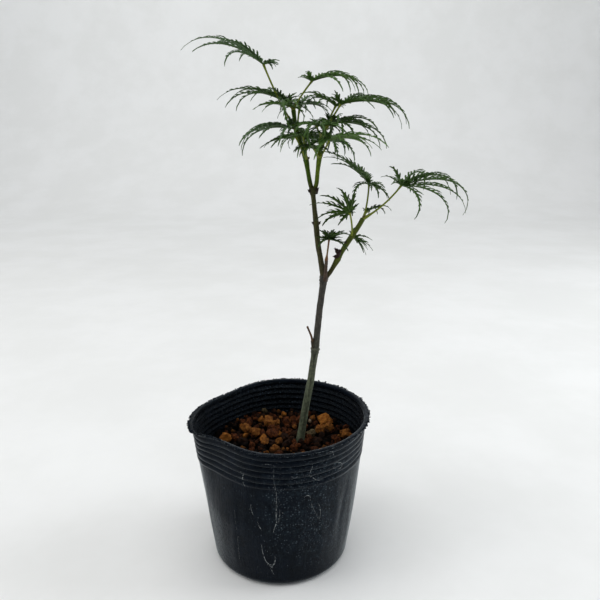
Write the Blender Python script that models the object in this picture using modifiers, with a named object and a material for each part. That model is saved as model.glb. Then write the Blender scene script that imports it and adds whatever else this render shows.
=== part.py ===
"""Potted Japanese maple: a young cut-leaf sapling in a soft nursery pot.

Units are metres (millimetres times MM), +Z up. The origin is the centre of
the pot's flat underside. Every limb, every leaf with its stalk, the potting
mix and the pot is one closed solid, 0.3 mm clear of what carries it.
"""
import math
import random
from collections import namedtuple

import bmesh
import bpy
from mathutils import Matrix, Vector
from mathutils.bvhtree import BVHTree

MM = 0.001
GAP = 0.3 * MM
UP = Vector((0, 0, 1))

# ---------------------------------------------------------------- pot sizes
POT_HEIGHT = 88.5
POT_STEPS = 32
WALL = 1.2
LIP_RADIUS = 52.4
LIP_THICK = 1.2
WALL_TOP_RADIUS = 50.4
WALL_FOOT_RADIUS = 40.0
BULGE = 0.8
FOOT_ROUND = 5.0
RIBS = 6
RIB_PITCH = 3.5
RIB_RELIEF = 0.9
DRAIN_HOLES = 6
DRAIN_RADIUS = 4.0
DRAIN_CIRCLE = 22.0

# the rim is soft: one side is pinched to a corner and hangs a little
WARP_FROM = 40.0
CORNER_AT = 198.0
CORNER_OUT = 4.2
CORNER_WIDTH = 19.0
CORNER_DROP = 2.5
DROP_WIDTH = 12.0
FLATS = ((139.0, 6.5), (222.0, 6.8))
FLAT_WIDTH = 30.0
RIM_TILT = 0.02

# ------------------------------------------------------- potting mix sizes
MIX_TOP = 67.4
MIX_FLOOR_GAP = 0.35
MIX_WALL_GAP = 0.8
MIX_RINGS = 3
MIX_ROUGHNESS = 1.1
CRUMBS = 14
CRUMB_RADIUS = (2.8, 4.2)
FOOT_CLEARING = 5.0
CRUMB_CLEARING = 9.0

# --------------------------------------------------------------- wood sizes
# a station is x, y, z and radius
TRUNK = [(12.0, 3.0, 68.0, 3.3), (12.05, 3.0, 69.3, 2.85), (12.6, 3.0, 73.0, 2.45),
         (15.0, 2.5, 90.0, 2.25), (18.0, 2.0, 107.5, 2.1), (20.0, 1.5, 122.5, 2.0),
         (20.5, 1.5, 127.0, 2.3), (21.5, 1.0, 136.0, 1.9), (22.8, 0.5, 150.5, 1.8),
         (24.5, 0.0, 164.5, 1.9), (25.0, 0.0, 169.0, 2.4), (25.1, 0.0, 171.3, 2.5)]
LEADER = [(25.0, 0.0, 170.0, 1.7), (23.0, 0.0, 181.0, 1.5), (21.5, 0.0, 190.0, 1.45),
          (20.6, 0.0, 199.5, 1.55), (19.6, 0.0, 208.5, 1.3), (18.9, 0.0, 215.0, 1.4),
          (18.8, 0.0, 217.5, 2.2), (18.9, 0.0, 219.3, 2.1)]
LEFT_SHOOT = [(18.7, 0.0, 217.0, 1.25), (17.2, 0.2, 221.5, 1.2), (16.0, 0.5, 228.0, 1.25),
              (15.0, 1.0, 233.5, 1.45), (13.5, 1.2, 238.0, 1.2), (12.0, 1.5, 243.0, 1.2),
              (10.0, 2.0, 248.5, 1.45), (9.0, 2.5, 254.0, 1.15), (8.3, 3.0, 259.5, 1.35)]
RIGHT_SHOOT = [(19.2, 0.0, 217.0, 1.2), (20.6, -0.4, 221.5, 1.2), (21.2, -1.0, 228.0, 1.2),
               (22.0, -2.0, 235.0, 1.4), (22.5, -2.5, 240.5, 1.1), (23.0, -3.0, 246.0, 1.35)]
RIGHT_BOUGH = [(25.5, 0.0, 169.5, 1.4), (28.3, 0.0, 172.6, 1.25), (30.5, 0.0, 176.3, 1.3),
               (32.5, 0.0, 180.0, 1.75), (34.5, 0.0, 183.8, 1.45), (37.0, -0.5, 188.2, 1.5),
               (40.0, -1.0, 193.0, 1.55), (43.5, -1.5, 198.5, 1.35), (46.0, -2.0, 203.0, 1.45)]
SPUR = [(25.6, -2.9, 170.0, 1.15), (25.8, -3.0, 174.0, 1.05), (26.2, -3.0, 180.5, 0.95)]
PRUNED_TWIG = [(20.3, 1.2, 127.5, 0.8), (19.1, 0.0, 132.0, 0.55), (18.4, -1.0, 135.5, 0.5),
               (16.6, -2.0, 141.5, 0.7)]

# a bud is its foot, its direction, its length and its foot radius
Bud = namedtuple("Bud", "foot direction length radius")
TRUNK_BUDS = [Bud((14.2, 0.8, 87.0), (-0.6, -0.8, 0.3), 2.2, 0.8)]
LEADER_BUDS = [Bud((20.0, -0.4, 217.6), (1.0, -0.3, 0.8), 3.0, 0.9),
               Bud((17.4, -0.6, 217.2), (-1.0, -0.4, 0.8), 2.4, 0.8),
               Bud((19.4, -0.2, 199.8), (-1.0, -0.2, 0.9), 2.2, 0.7),
               Bud((21.9, 0.2, 199.8), (1.0, 0.2, 0.9), 2.0, 0.7)]
BOUGH_BUDS = [Bud((33.4, -0.9, 183.4), (-1.0, -0.7, 0.8), 3.0, 0.9),
              Bud((33.0, 0.4, 183.6), (-1.0, 0.3, 1.2), 3.2, 0.9),
              Bud((32.2, -0.4, 181.4), (-1.2, -0.5, 0.1), 2.6, 0.8),
              Bud((37.2, -1.1, 189.4), (-1.0, -0.6, 0.9), 2.4, 0.8)]

# --------------------------------------------------------------- leaf sizes
BLADE_THICK = 0.5
STALK_RADIUS = 0.5
HUB_RADIUS = 1.5
LINE_STEPS = 12
SWAY = 0.45
# how far chance turns, lengthens, lifts and droops a lobe
ANGLE_CHANCE = 7
LENGTH_CHANCE = 0.11
LIFT_CHANCE = 4
DROOP_CHANCE = 0.3

# the nodes of the shoots that the leaf stalks grow from
LEFT_LOW = (15.2, 1.0, 233.5)
LEFT_MIDDLE = (10.1, 2.0, 248.5)
LEFT_TIP = (8.3, 3.0, 259.0)
RIGHT_LOW = (22.0, -2.0, 235.0)
RIGHT_TIP = (23.0, -3.0, 245.5)
BOUGH_MIDDLE = (40.0, -1.0, 193.0)
BOUGH_TIP = (46.0, -2.0, 202.8)
SPUR_TIP = (26.2, -3.0, 180.3)

# heading and pitch of the middle lobe, roll about it and swing of a lobe are in
# degrees, droop is the turn of a lobe over its length in radians, fan narrows the
# spread of the lobes, back lengthens the rearmost ones and rise scales their lift, own
# says how far a lobe droops in the leaf's own plane instead of straight down, and late
# is the share of the droop that comes near the tip; seed is the leaf's own chance
Leaf = namedtuple("Leaf", "name seed node base bow heading pitch roll reach droop "
                          "lobes fan back own rise late", defaults=(9, 0.8, 1.0, 0.0, 1.0, 0.55))
LEAVES = [
    Leaf("leaf_top_left", 37, LEFT_MIDDLE, (-7, 3, 281.5), (-1, 0, -2), 176, 33, 0, 46.5, 1.2, 7, 0.6,
         back=0.7, rise=0.9, late=0.4),
    Leaf("leaf_bough_tip", 13, BOUGH_TIP, (65.5, -3, 220.5), (2, 0, -2), -2, 10, 22, 49, 2.0, 9, 0.75, 1.2,
         late=0.6),
    Leaf("leaf_upper_right", 31, RIGHT_TIP, (32.5, -7, 261.5), (-1, 0, -1), -4, 11, 8, 44, 1.4, 9, 0.65,
         late=0.6),
    Leaf("leaf_top_right", 81, LEFT_TIP, (18, 5, 273.5), (-2, 0, -1), 2, 16, 8, 40, 1.8, 9, 0.65, late=0.6),
    Leaf("leaf_bough_left", 159, BOUGH_TIP, (49.5, 7, 220.5), (1, 0, -1), 165, 46, 0, 34, 0.9, 9, 0.8, 2.2,
         rise=0.35),
    Leaf("leaf_bough_inner", 24, BOUGH_MIDDLE, (38, -9, 207), (1, -2, 0), 172, 26, 58, 21, 0.6, 9, 1.1,
         1.5, 0.6),
    Leaf("leaf_upper_left", 29, LEFT_TIP, (4.5, 6, 263), (0, 0, 1), 174, 25, -6, 37.5, 1.7, 9, 0.65,
         late=0.5),
    Leaf("leaf_middle_left", 119, LEFT_MIDDLE, (6, -2.5, 250), (0, 0, 1), 186, 6, 0, 35, 1.5, 9, 0.7,
         late=0.5),
    Leaf("leaf_low_right", 46, RIGHT_LOW, (26.5, -12, 244), (1, -1, 0), -10, 8, 0, 31, 1.6, 9, 0.75),
    Leaf("leaf_middle_right", 53, RIGHT_TIP, (27.5, 2, 252), (0, 1, 0), -12, 6, 0, 36, 1.5, 9, 0.7),
    Leaf("leaf_spur", 6, SPUR_TIP, (27.5, -5, 192), (0, -1, 0), 72, 30, 0, 11.5, 0.5, 7, 1.25, 1.0, 0.8),
    Leaf("leaf_back_right", 27, RIGHT_TIP, (30.5, 5, 261), (-1, 0, -1), 165, 35, 0, 25, 1.5, 7, 0.7),
    Leaf("leaf_back_middle", 13, LEFT_MIDDLE, (11.5, 11, 262), (0, 2, -1), 15, 10, 0, 23, 1.6, 9, 1.0),
    Leaf("leaf_short_left", 14, LEFT_TIP, (5.5, -2, 261), (0, 0, 1), 205, 8, 0, 20, 1.0, 7, 0.9),
    Leaf("leaf_low_left", 15, LEFT_LOW, (9.5, -5, 245.5), (0, 0, 1), 205, -9, 0, 21, 0.8, 5),
    Leaf("leaf_front_middle", 16, RIGHT_TIP, (20, -13, 251), (0, -3, -1), -95, 5, 0, 23, 1.6, 9, 1.0),
    Leaf("leaf_front_left", 17, LEFT_LOW, (13.5, -9, 246), (0, -2, -1), -120, 0, 0, 22, 1.4, 7, 1.0),
    Leaf("leaf_front_small", 18, RIGHT_LOW, (19, -9, 239.5), (0, -2, -1), -130, 15, 0, 16, 1.2, 7, 1.0),
    Leaf("leaf_bough_under", 19, BOUGH_MIDDLE, (40.5, 5, 192.5), (0, 1, 1), 0, -44, 0, 15, 0.5, 7, 1.2,
         1.0, 0.3),
    Leaf("leaf_bough_small", 20, BOUGH_TIP, (48.5, 3, 206), (0, 1, 1), 10, 30, 0, 15, 1.9, 5, 0.9),
    Leaf("leaf_rear_left", 21, LEFT_LOW, (15, 12, 244), (0, 2, -1), 100, 12, 0, 30, 1.6, 7),
    Leaf("leaf_rear_right", 22, RIGHT_LOW, (25, 9, 243), (0, 2, -1), 60, 10, 0, 28, 1.6, 7),
]

# one entry for each rank of lobes, from the middle one outwards: angle off the
# heading, share of the reach, lift off the leaf's plane and share of the droop
Rank = namedtuple("Rank", "angle share lift droop")
FANS = {
    9: (Rank(0, 1.0, 4, 1.0), Rank(21, 0.96, 6, 1.05), Rank(45, 0.84, 8, 1.1),
        Rank(72, 0.64, 12, 1.0), Rank(104, 0.24, 60, 0.6)),
    7: (Rank(0, 1.0, 4, 1.0), Rank(27, 0.90, 7, 1.1), Rank(62, 0.66, 12, 1.1),
        Rank(118, 0.36, 45, 0.8)),
    5: (Rank(0, 1.0, 4, 1.0), Rank(34, 0.80, 8, 1.1), Rank(85, 0.45, 30, 1.0)),
}

# where a lobe would meet another piece it is lifted or swung by these, in turn
NUDGES = ((0, 0), (7, 0), (-7, 0), (0, 7), (0, -7), (13, 0), (-13, 0), (9, 9), (9, -9),
          (20, 0), (0, 16), (0, -16), (20, 14), (20, -14))

# blade outline: a narrow foot, pairs of forward teeth, then a thread-like tip
TOOTH_FROM, TOOTH_TO = 0.12, 0.80
TOOTH_TIP = 0.72
RIB_SHARE = 0.32
RIB_LEAST = 0.42
ROOT_HALF = 0.3
HALF_WIDTH, HALF_WIDTH_PER_REACH = 1.15, 0.045
TIP_ROWS = ((0.88, 0.42), (1.0, 0.22))

COLOURS = {
    "pot": ((0.012, 0.014, 0.018, 1), 0.45),
    "mix": ((0.26, 0.10, 0.035, 1), 0.95),
    "bark": ((0.085, 0.075, 0.05, 1), 0.8),
    "green_wood": ((0.10, 0.15, 0.03, 1), 0.55),
    "leaf": ((0.025, 0.075, 0.035, 1), 0.5),
}


# ------------------------------------------------------------------ helpers
def clear_scene():
    """Remove everything that the file starts with."""
    for obj in list(bpy.data.objects):
        bpy.data.objects.remove(obj, do_unlink=True)


def new_collection(name, hidden=False):
    """Add a collection to the scene."""
    collection = bpy.data.collections.new(name)
    collection.hide_render = hidden
    bpy.context.scene.collection.children.link(collection)
    return collection


def new_material(name):
    """Build a plain Principled material from COLOURS."""
    colour, roughness = COLOURS[name]
    material = bpy.data.materials.new(name)
    material.use_nodes = True
    shader = material.node_tree.nodes["Principled BSDF"]
    shader.inputs["Base Color"].default_value = colour
    shader.inputs["Roughness"].default_value = roughness
    shader.inputs["Metallic"].default_value = 0.0
    material.diffuse_color = colour
    return material


def mesh_object(name, mesh, collection, material=None):
    """Wrap a mesh in an object."""
    obj = bpy.data.objects.new(name, mesh)
    if material:
        mesh.materials.clear()
        mesh.materials.append(material)
    collection.objects.link(obj)
    return obj


def baked(obj):
    """Replace an object by a mesh object of its evaluated shape."""
    bpy.context.view_layer.update()
    evaluated = obj.evaluated_get(bpy.context.evaluated_depsgraph_get())
    mesh = bpy.data.meshes.new_from_object(evaluated)
    mesh.transform(obj.matrix_world)
    bm = bmesh.new()
    bm.from_mesh(mesh)
    bmesh.ops.remove_doubles(bm, verts=bm.verts, dist=1e-6)
    bmesh.ops.dissolve_degenerate(bm, edges=bm.edges, dist=1e-6)
    bmesh.ops.triangulate(bm, faces=bm.faces)
    bm.to_mesh(mesh)
    bm.free()
    name, collection = obj.name, obj.users_collection[0]
    bpy.data.objects.remove(obj, do_unlink=True)
    return mesh_object(name, mesh, collection)


def smoothed(stations, per_span):
    """Read a Catmull-Rom curve through the stations."""
    rows = [Vector(s) for s in stations]
    rows = [2 * rows[0] - rows[1]] + rows + [2 * rows[-1] - rows[-2]]
    result = []
    for a, b, c, d in zip(rows, rows[1:], rows[2:], rows[3:]):
        for i in range(per_span):
            t = i / per_span
            result.append(0.5 * ((2 * b) + (c - a) * t + (2 * a - 5 * b + 4 * c - d) * t * t
                                 + (3 * b - a - 3 * c + d) * t ** 3))
    result.append(rows[-2])
    return result


def tube(name, stations, bevel_resolution, collection):
    """Make a capped round bar along stations of x, y, z and radius in millimetres."""
    curve = bpy.data.curves.new(name, "CURVE")
    curve.dimensions = "3D"
    curve.bevel_depth = MM
    curve.bevel_resolution = bevel_resolution
    curve.use_fill_caps = True
    spline = curve.splines.new("POLY")
    spline.points.add(len(stations) - 1)
    for point, station in zip(spline.points, stations):
        point.co = (station[0] * MM, station[1] * MM, station[2] * MM, 1)
        point.radius = station[3]
    obj = bpy.data.objects.new(name, curve)
    collection.objects.link(obj)
    return baked(obj)


def united(name, pieces, collection, material):
    """Join overlapping pieces into one closed body."""
    operands = bpy.data.collections.new(name + "_operands")
    bpy.context.scene.collection.children.link(operands)
    first, *others = pieces
    for piece in others:
        operands.objects.link(piece)
    modifier = first.modifiers.new("join", "BOOLEAN")
    modifier.operation = "UNION"
    modifier.operand_type = "COLLECTION"
    modifier.collection = operands
    modifier.solver = "EXACT"
    body = baked(first)
    for piece in others:
        bpy.data.objects.remove(piece, do_unlink=True)
    bpy.data.collections.remove(operands)
    return mesh_object(name, take_mesh(body), collection, material)


def take_mesh(obj):
    """Remove an object and keep its mesh."""
    mesh = obj.data
    bpy.data.objects.remove(obj, do_unlink=True)
    return mesh


def tree_of(obj):
    """Build a search tree over a mesh object's faces."""
    vertices = [v.co for v in obj.data.vertices]
    return BVHTree.FromPolygons(vertices, [tuple(p.vertices) for p in obj.data.polygons])


def ring_points(centre, tangent, radius):
    """Give eight points round a bar's section, and its centre."""
    across = tangent.orthogonal().normalized()
    up = tangent.cross(across).normalized()
    ring = [centre + radius * (across * math.cos(a) + up * math.sin(a))
            for a in (i * math.pi / 4 for i in range(8))]
    return ring + [centre]


def seated(stations, trees):
    """Cut the start of a bar back to where it clears the solids by GAP."""
    kept = []
    for here, before in zip(reversed(stations), reversed([stations[0]] + list(stations[:-1]))):
        centre = Vector(here[:3]) * MM
        tangent = (Vector(here[:3]) - Vector(before[:3]))
        if tangent.length < 1e-9:
            tangent = Vector(kept[-1][:3]) - Vector(here[:3])
        points = ring_points(centre, tangent.normalized(), here[3] * MM)
        if any(tree.find_nearest(p, GAP)[0] is not None for p in points for tree in trees):
            break
        kept.append(here)
    return list(reversed(kept))


def thinned(stations, count):
    """Keep an even choice of stations, with both ends."""
    last = len(stations) - 1
    return [stations[round(i * last / (count - 1))] for i in range(count)]


# ---------------------------------------------------------------------- pot
def bump(angle, centre, width):
    """Give a smooth hump round an angle, in degrees."""
    off = (angle - centre + 180) % 360 - 180
    return math.exp(-(off / width) ** 2)


def warped(co):
    """Move a point of the round pot to where the soft wall really is."""
    x, y, z = (c / MM for c in co)
    share = max(0.0, (z - WARP_FROM) / (POT_HEIGHT - WARP_FROM))
    angle = math.degrees(math.atan2(y, x))
    radius = math.hypot(x, y)
    reach = radius / WALL_TOP_RADIUS
    corner = bump(angle, CORNER_AT, CORNER_WIDTH)
    out = CORNER_OUT * corner - sum(depth * bump(angle, at, FLAT_WIDTH) for at, depth in FLATS)
    fresh = radius + out * share * reach
    drop = CORNER_DROP * bump(angle, CORNER_AT, DROP_WIDTH) * reach - RIM_TILT * x
    turn = math.radians(angle)
    return Vector((fresh * math.cos(turn), fresh * math.sin(turn), z - drop * share)) * MM


def wall_radius(z):
    """Give the outer radius of the plain wall at a height."""
    share = z / POT_HEIGHT
    return (WALL_FOOT_RADIUS + (WALL_TOP_RADIUS - WALL_FOOT_RADIUS) * share
            + BULGE * math.sin(math.pi * share))


def turned(name, profile, collection):
    """Turn a profile of radius and height about the Z axis."""
    mesh = bpy.data.meshes.new(name)
    mesh.from_pydata([(r * MM, 0, z * MM) for r, z in profile],
                     [(i, i + 1) for i in range(len(profile) - 1)], [])
    obj = mesh_object(name, mesh, collection)
    screw = obj.modifiers.new("turn", "SCREW")
    screw.steps = screw.render_steps = POT_STEPS
    screw.use_merge_vertices = True
    screw.merge_threshold = 1e-5
    body = baked(obj)
    for vertex in body.data.vertices:
        vertex.co = warped(vertex.co)
    return body


def pot_profile():
    """List the wall's section from the inside floor over the lip to the underside."""
    rib_foot = POT_HEIGHT - 1.6 - RIBS * RIB_PITCH
    inside = [(0, WALL), (WALL_FOOT_RADIUS - FOOT_ROUND, WALL),
              (wall_radius(FOOT_ROUND) - WALL, FOOT_ROUND + 0.6),
              (wall_radius(WARP_FROM) - WALL, WARP_FROM),
              (wall_radius(MIX_TOP) - WALL, MIX_TOP),
              (WALL_TOP_RADIUS - WALL, POT_HEIGHT)]
    lip = [(LIP_RADIUS, POT_HEIGHT), (LIP_RADIUS, POT_HEIGHT - LIP_THICK),
           (WALL_TOP_RADIUS, POT_HEIGHT - LIP_THICK)]
    ribs = []
    for i in reversed(range(RIBS)):
        middle = rib_foot + (i + 0.5) * RIB_PITCH
        ribs.append((wall_radius(middle) + RIB_RELIEF / 2, middle + RIB_PITCH * 0.15))
        ribs.append((wall_radius(middle) - RIB_RELIEF / 4, middle - RIB_PITCH * 0.35))
    foot = [(wall_radius(WARP_FROM), WARP_FROM), (wall_radius(FOOT_ROUND), FOOT_ROUND)]
    for i in (1, 2, 3):
        turn = math.radians(30 * i)
        foot.append((wall_radius(FOOT_ROUND) - FOOT_ROUND * (1 - math.cos(turn)),
                     FOOT_ROUND * (1 - math.sin(turn))))
    return inside + lip + ribs + foot + [(0, 0)]


def make_pot(collection, cutters):
    """Make the ribbed wall with its drain holes."""
    pot = turned("pot", pot_profile(), collection)
    pot.data.materials.append(new_material("pot"))
    bm = bmesh.new()
    for i in range(DRAIN_HOLES):
        turn = math.tau * i / DRAIN_HOLES
        place = Matrix.Translation(Vector((math.cos(turn), math.sin(turn), 0)) * DRAIN_CIRCLE * MM)
        bmesh.ops.create_cone(bm, cap_ends=True, segments=12, radius1=DRAIN_RADIUS * MM,
                              radius2=DRAIN_RADIUS * MM, depth=4 * WALL * MM, matrix=place)
    mesh = bpy.data.meshes.new("drain_holes")
    bm.to_mesh(mesh)
    bm.free()
    holes = mesh_object("drain_holes", mesh, cutters)
    holes.hide_render = True
    holes.display_type = "WIRE"
    cut = pot.modifiers.new("drain holes", "BOOLEAN")
    cut.operation = "DIFFERENCE"
    cut.object = holes
    return pot


def make_mix(collection):
    """Make the potting mix: a plug of crumbs inside the wall, level under the trunk."""
    rng = random.Random(5)
    side = [(z, wall_radius(z) - WALL - MIX_WALL_GAP) for z in (MIX_TOP, WARP_FROM, FOOT_ROUND + 1.2)]
    edge = side[0][1]
    profile = [(edge * i / MIX_RINGS, MIX_TOP) for i in range(MIX_RINGS)]
    profile += [(r, z) for z, r in side]
    floor = WALL + MIX_FLOOR_GAP
    profile += [(WALL_FOOT_RADIUS - FOOT_ROUND - 1.5, floor), (0, floor)]
    plug = turned("mix_plug", profile, collection)
    foot = Vector(TRUNK[0][:3]) * MM
    flat = foot.z - GAP
    for vertex in plug.data.vertices:
        reach = math.hypot(vertex.co.x, vertex.co.y) / MM
        off = (vertex.co.xy - foot.xy).length / MM
        if vertex.co.z > (MIX_TOP - 3.0) * MM and reach < edge - 4.0 and off > FOOT_CLEARING:
            vertex.co.z += rng.uniform(-0.4, 1.0) * MIX_ROUGHNESS * MM
    pad_radius = TRUNK[0][3] + 0.8
    stations = [(foot.x / MM, foot.y / MM, MIX_TOP - 3.0, pad_radius + 1.5),
                (foot.x / MM, foot.y / MM, flat / MM, pad_radius)]
    pieces = [plug, tube("mix_pad", stations, 2, collection)]
    for i in range(CRUMBS):
        turn = i * math.radians(137.5)
        reach = (edge - 10.0) * math.sqrt((i + 0.6) / CRUMBS)
        radius = rng.uniform(*CRUMB_RADIUS)
        centre = Vector((reach * math.cos(turn), reach * math.sin(turn), MIX_TOP + 0.2 * radius))
        shape = [rng.uniform(0.8, 1.2) for _ in range(3)]
        spin = rng.uniform(0, math.tau)
        if (centre.xy * MM - foot.xy).length / MM < CRUMB_CLEARING:
            continue
        bm = bmesh.new()
        bmesh.ops.create_icosphere(bm, subdivisions=1, radius=radius * MM)
        bmesh.ops.scale(bm, verts=bm.verts, vec=shape)
        bmesh.ops.rotate(bm, verts=bm.verts, cent=(0, 0, 0), matrix=Matrix.Rotation(spin, 3, "X"))
        bmesh.ops.translate(bm, verts=bm.verts, vec=centre * MM)
        mesh = bpy.data.meshes.new("crumb")
        bm.to_mesh(mesh)
        bm.free()
        pieces.append(mesh_object("crumb", mesh, collection))
    return united("potting_mix", pieces, collection, new_material("mix"))


# --------------------------------------------------------------------- wood
def make_bud(bud, collection):
    """Make a pointed bud with its foot sunk in the wood."""
    direction = Vector(bud.direction).normalized()
    middle = (Vector(bud.foot) + direction * bud.length / 2) * MM
    place = Matrix.Translation(middle) @ direction.to_track_quat("Z", "Y").to_matrix().to_4x4()
    bm = bmesh.new()
    bmesh.ops.create_cone(bm, cap_ends=True, segments=6, radius1=bud.radius * MM,
                          radius2=0.25 * bud.radius * MM, depth=bud.length * MM, matrix=place)
    mesh = bpy.data.meshes.new("bud")
    bm.to_mesh(mesh)
    bm.free()
    return mesh_object("bud", mesh, collection)


def make_limb(name, stations, trees, collection, material, buds=(), twigs=()):
    """Make one tapering limb, seated on the solids in trees."""
    path = seated(smoothed(stations, 6), trees) if trees else smoothed(stations, 6)
    rings = max(4, round(len(path) / 4.5))
    pieces = [tube(name, thinned(path, rings), 2, collection)]
    pieces += [tube("twig", smoothed(t, 2), 1, collection) for t in twigs]
    pieces += [make_bud(b, collection) for b in buds]
    if len(pieces) > 1:
        return united(name, pieces, collection, material)
    return mesh_object(name, take_mesh(pieces[0]), collection, material)


# ------------------------------------------------------------------- leaves
def direction_of(azimuth, elevation):
    """Give the unit vector of a heading and a pitch in degrees."""
    a, e = math.radians(azimuth), math.radians(elevation)
    return Vector((math.cos(a) * math.cos(e), math.sin(a) * math.cos(e), math.sin(e)))


def lobe_line(base, start, hinge, length, droop, sway, late):
    """Walk along a drooping midrib: points with the blade's cross direction."""
    step = length / LINE_STEPS
    point, heading = base.copy(), start.normalized()
    line = []
    for i in range(LINE_STEPS + 1):
        across = (hinge - heading * hinge.dot(heading)).normalized()
        line.append((point.copy(), across))
        share = (i + 0.5) / LINE_STEPS
        point += heading * step
        fall = droop * (1 - late + 3 * late * share * share) / LINE_STEPS
        heading = Matrix.Rotation(fall, 3, hinge) @ heading
        heading = Matrix.Rotation(sway / LINE_STEPS, 3, UP) @ heading
    return line


def at_share(line, share):
    """Read a midrib at a share of its length."""
    place = min(max(share, 0.0), 1.0) * LINE_STEPS
    i = min(int(place), LINE_STEPS - 1)
    (a, across), (b, _) = line[i], line[i + 1]
    return a.lerp(b, place - i), across, (b - a).normalized()


def half_width(length, share):
    """Give the reach of the teeth to one side of the midrib."""
    return (HALF_WIDTH + HALF_WIDTH_PER_REACH * length) * math.sin(math.pi * share ** 0.75)


def blade_rows(line, length):
    """List the left and right margin points of a toothed blade."""
    teeth = 3 if length > 34 else 2 if length > 12 else 1
    rows = [(-0.8 / length, ROOT_HALF, 0.0)]
    span = (TOOTH_TO - TOOTH_FROM) / teeth
    for i in range(teeth):
        root = TOOTH_FROM + i * span
        tip = root + TOOTH_TIP * span
        rows.append((root, max(RIB_SHARE * half_width(length, root), RIB_LEAST), 0.0))
        rows.append((tip, half_width(length, tip), 0.5))
    rows += [(share, half, 0.0) for share, half in TIP_ROWS]
    margin = []
    for share, half, sweep in rows:
        middle, across, along = at_share(line, share)
        middle = middle + along * (min(share, 0.0) * length + sweep * half)
        margin += [middle - across * half, middle + across * half]
    return [m * MM for m in margin]


def make_blade(rows, thickness, collection):
    """Shape a strip to the margin rows and give it its thickness."""
    bm = bmesh.new()
    bmesh.ops.create_grid(bm, x_segments=1, y_segments=len(rows) // 2 - 1, size=1)
    ordered = sorted(bm.verts, key=lambda v: (round(v.co.y, 4), v.co.x))
    for vertex, place in zip(ordered, rows):
        vertex.co = place
    mesh = bpy.data.meshes.new("blade")
    bm.to_mesh(mesh)
    bm.free()
    blade = mesh_object("blade", mesh, collection)
    solid = blade.modifiers.new("thickness", "SOLIDIFY")
    solid.thickness = thickness * MM
    solid.offset = 0
    return baked(blade)


def lobe_starts(leaf, rng):
    """Yield start direction, hinge, length, droop and sway of each lobe of a leaf."""
    ahead = direction_of(leaf.heading, leaf.pitch)
    side = UP.cross(ahead).normalized()
    face = ahead.cross(side)
    roll = math.radians(leaf.roll)
    side, face = (side * math.cos(roll) + face * math.sin(roll),
                  face * math.cos(roll) - side * math.sin(roll))
    ranks = FANS[leaf.lobes]
    last = len(ranks) - 1
    for place in range(-last, last + 1):
        rank = ranks[abs(place)]
        jitter = [rng.uniform(-1, 1) for _ in range(5)]
        rear = abs(place) == last
        angle = math.copysign(rank.angle, place) * (1.0 if rear else leaf.fan) + ANGLE_CHANCE * jitter[0]
        turn = math.radians(angle)
        length = leaf.reach * rank.share * (1 + LENGTH_CHANCE * jitter[1]) * (leaf.back if rear else 1.0)
        flat = ahead * math.cos(turn) + side * math.sin(turn)
        lift = rank.lift * (leaf.rise if rear else 1.0) + LIFT_CHANCE * jitter[2]
        start = flat + face * math.tan(math.radians(lift))
        own = face.cross(flat).normalized()
        level = UP.cross(flat)
        hinge = own if level.length < 0.35 else (level * (1 - leaf.own) + own * leaf.own).normalized()
        droop = leaf.droop * rank.droop * (1 + DROOP_CHANCE * jitter[3])
        yield start, hinge, length, droop, SWAY * jitter[4]


def stalk_stations(leaf):
    """Give the stations of a leaf stalk from the shoot's axis to the leaf's base."""
    foot, base = Vector(leaf.node), Vector(leaf.base)
    middle = (foot + base) / 2 + Vector(leaf.bow)
    stations = []
    for i in range(41):
        t = i / 40
        point = foot * (1 - t) ** 2 + middle * 2 * t * (1 - t) + base * t * t
        stations.append((*point, STALK_RADIUS))
    return stations


def meets(obj, trees):
    """Say whether an object's faces cross any of the trees."""
    mine = tree_of(obj)
    return any(mine.overlap(tree) for tree in trees)


def make_leaf(leaf, trees, collection, material):
    """Make one leaf: stalk, hub and toothed lobes, clear of what is there already."""
    rng = random.Random(leaf.seed)
    base = Vector(leaf.base)
    bm = bmesh.new()
    bmesh.ops.create_icosphere(bm, subdivisions=1, radius=HUB_RADIUS * MM)
    bmesh.ops.translate(bm, verts=bm.verts, vec=base * MM)
    mesh = bpy.data.meshes.new("hub")
    bm.to_mesh(mesh)
    bm.free()
    pieces = [mesh_object("hub", mesh, collection)]
    pieces.append(tube("stalk", thinned(seated(stalk_stations(leaf), trees), 5), 0, collection))
    skipped = 0
    for start, hinge, length, droop, sway in lobe_starts(leaf, rng):
        for lift, swing in NUDGES:
            moved = Matrix.Rotation(math.radians(swing), 3, UP) @ (
                Matrix.Rotation(math.radians(-lift), 3, hinge) @ start)
            pivot = Matrix.Rotation(math.radians(swing), 3, UP) @ hinge
            rows = blade_rows(lobe_line(base, moved, pivot, length, droop, sway, leaf.late), length)
            probe = make_blade(rows, BLADE_THICK + 2 * GAP / MM, collection)
            blocked = meets(probe, trees)
            bpy.data.objects.remove(probe, do_unlink=True)
            if not blocked:
                pieces.append(make_blade(rows, BLADE_THICK, collection))
                break
        else:
            skipped += 1
    print(leaf.name, "lobes", len(pieces) - 2, "skipped", skipped)
    return united(leaf.name, pieces, collection, material)


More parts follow.
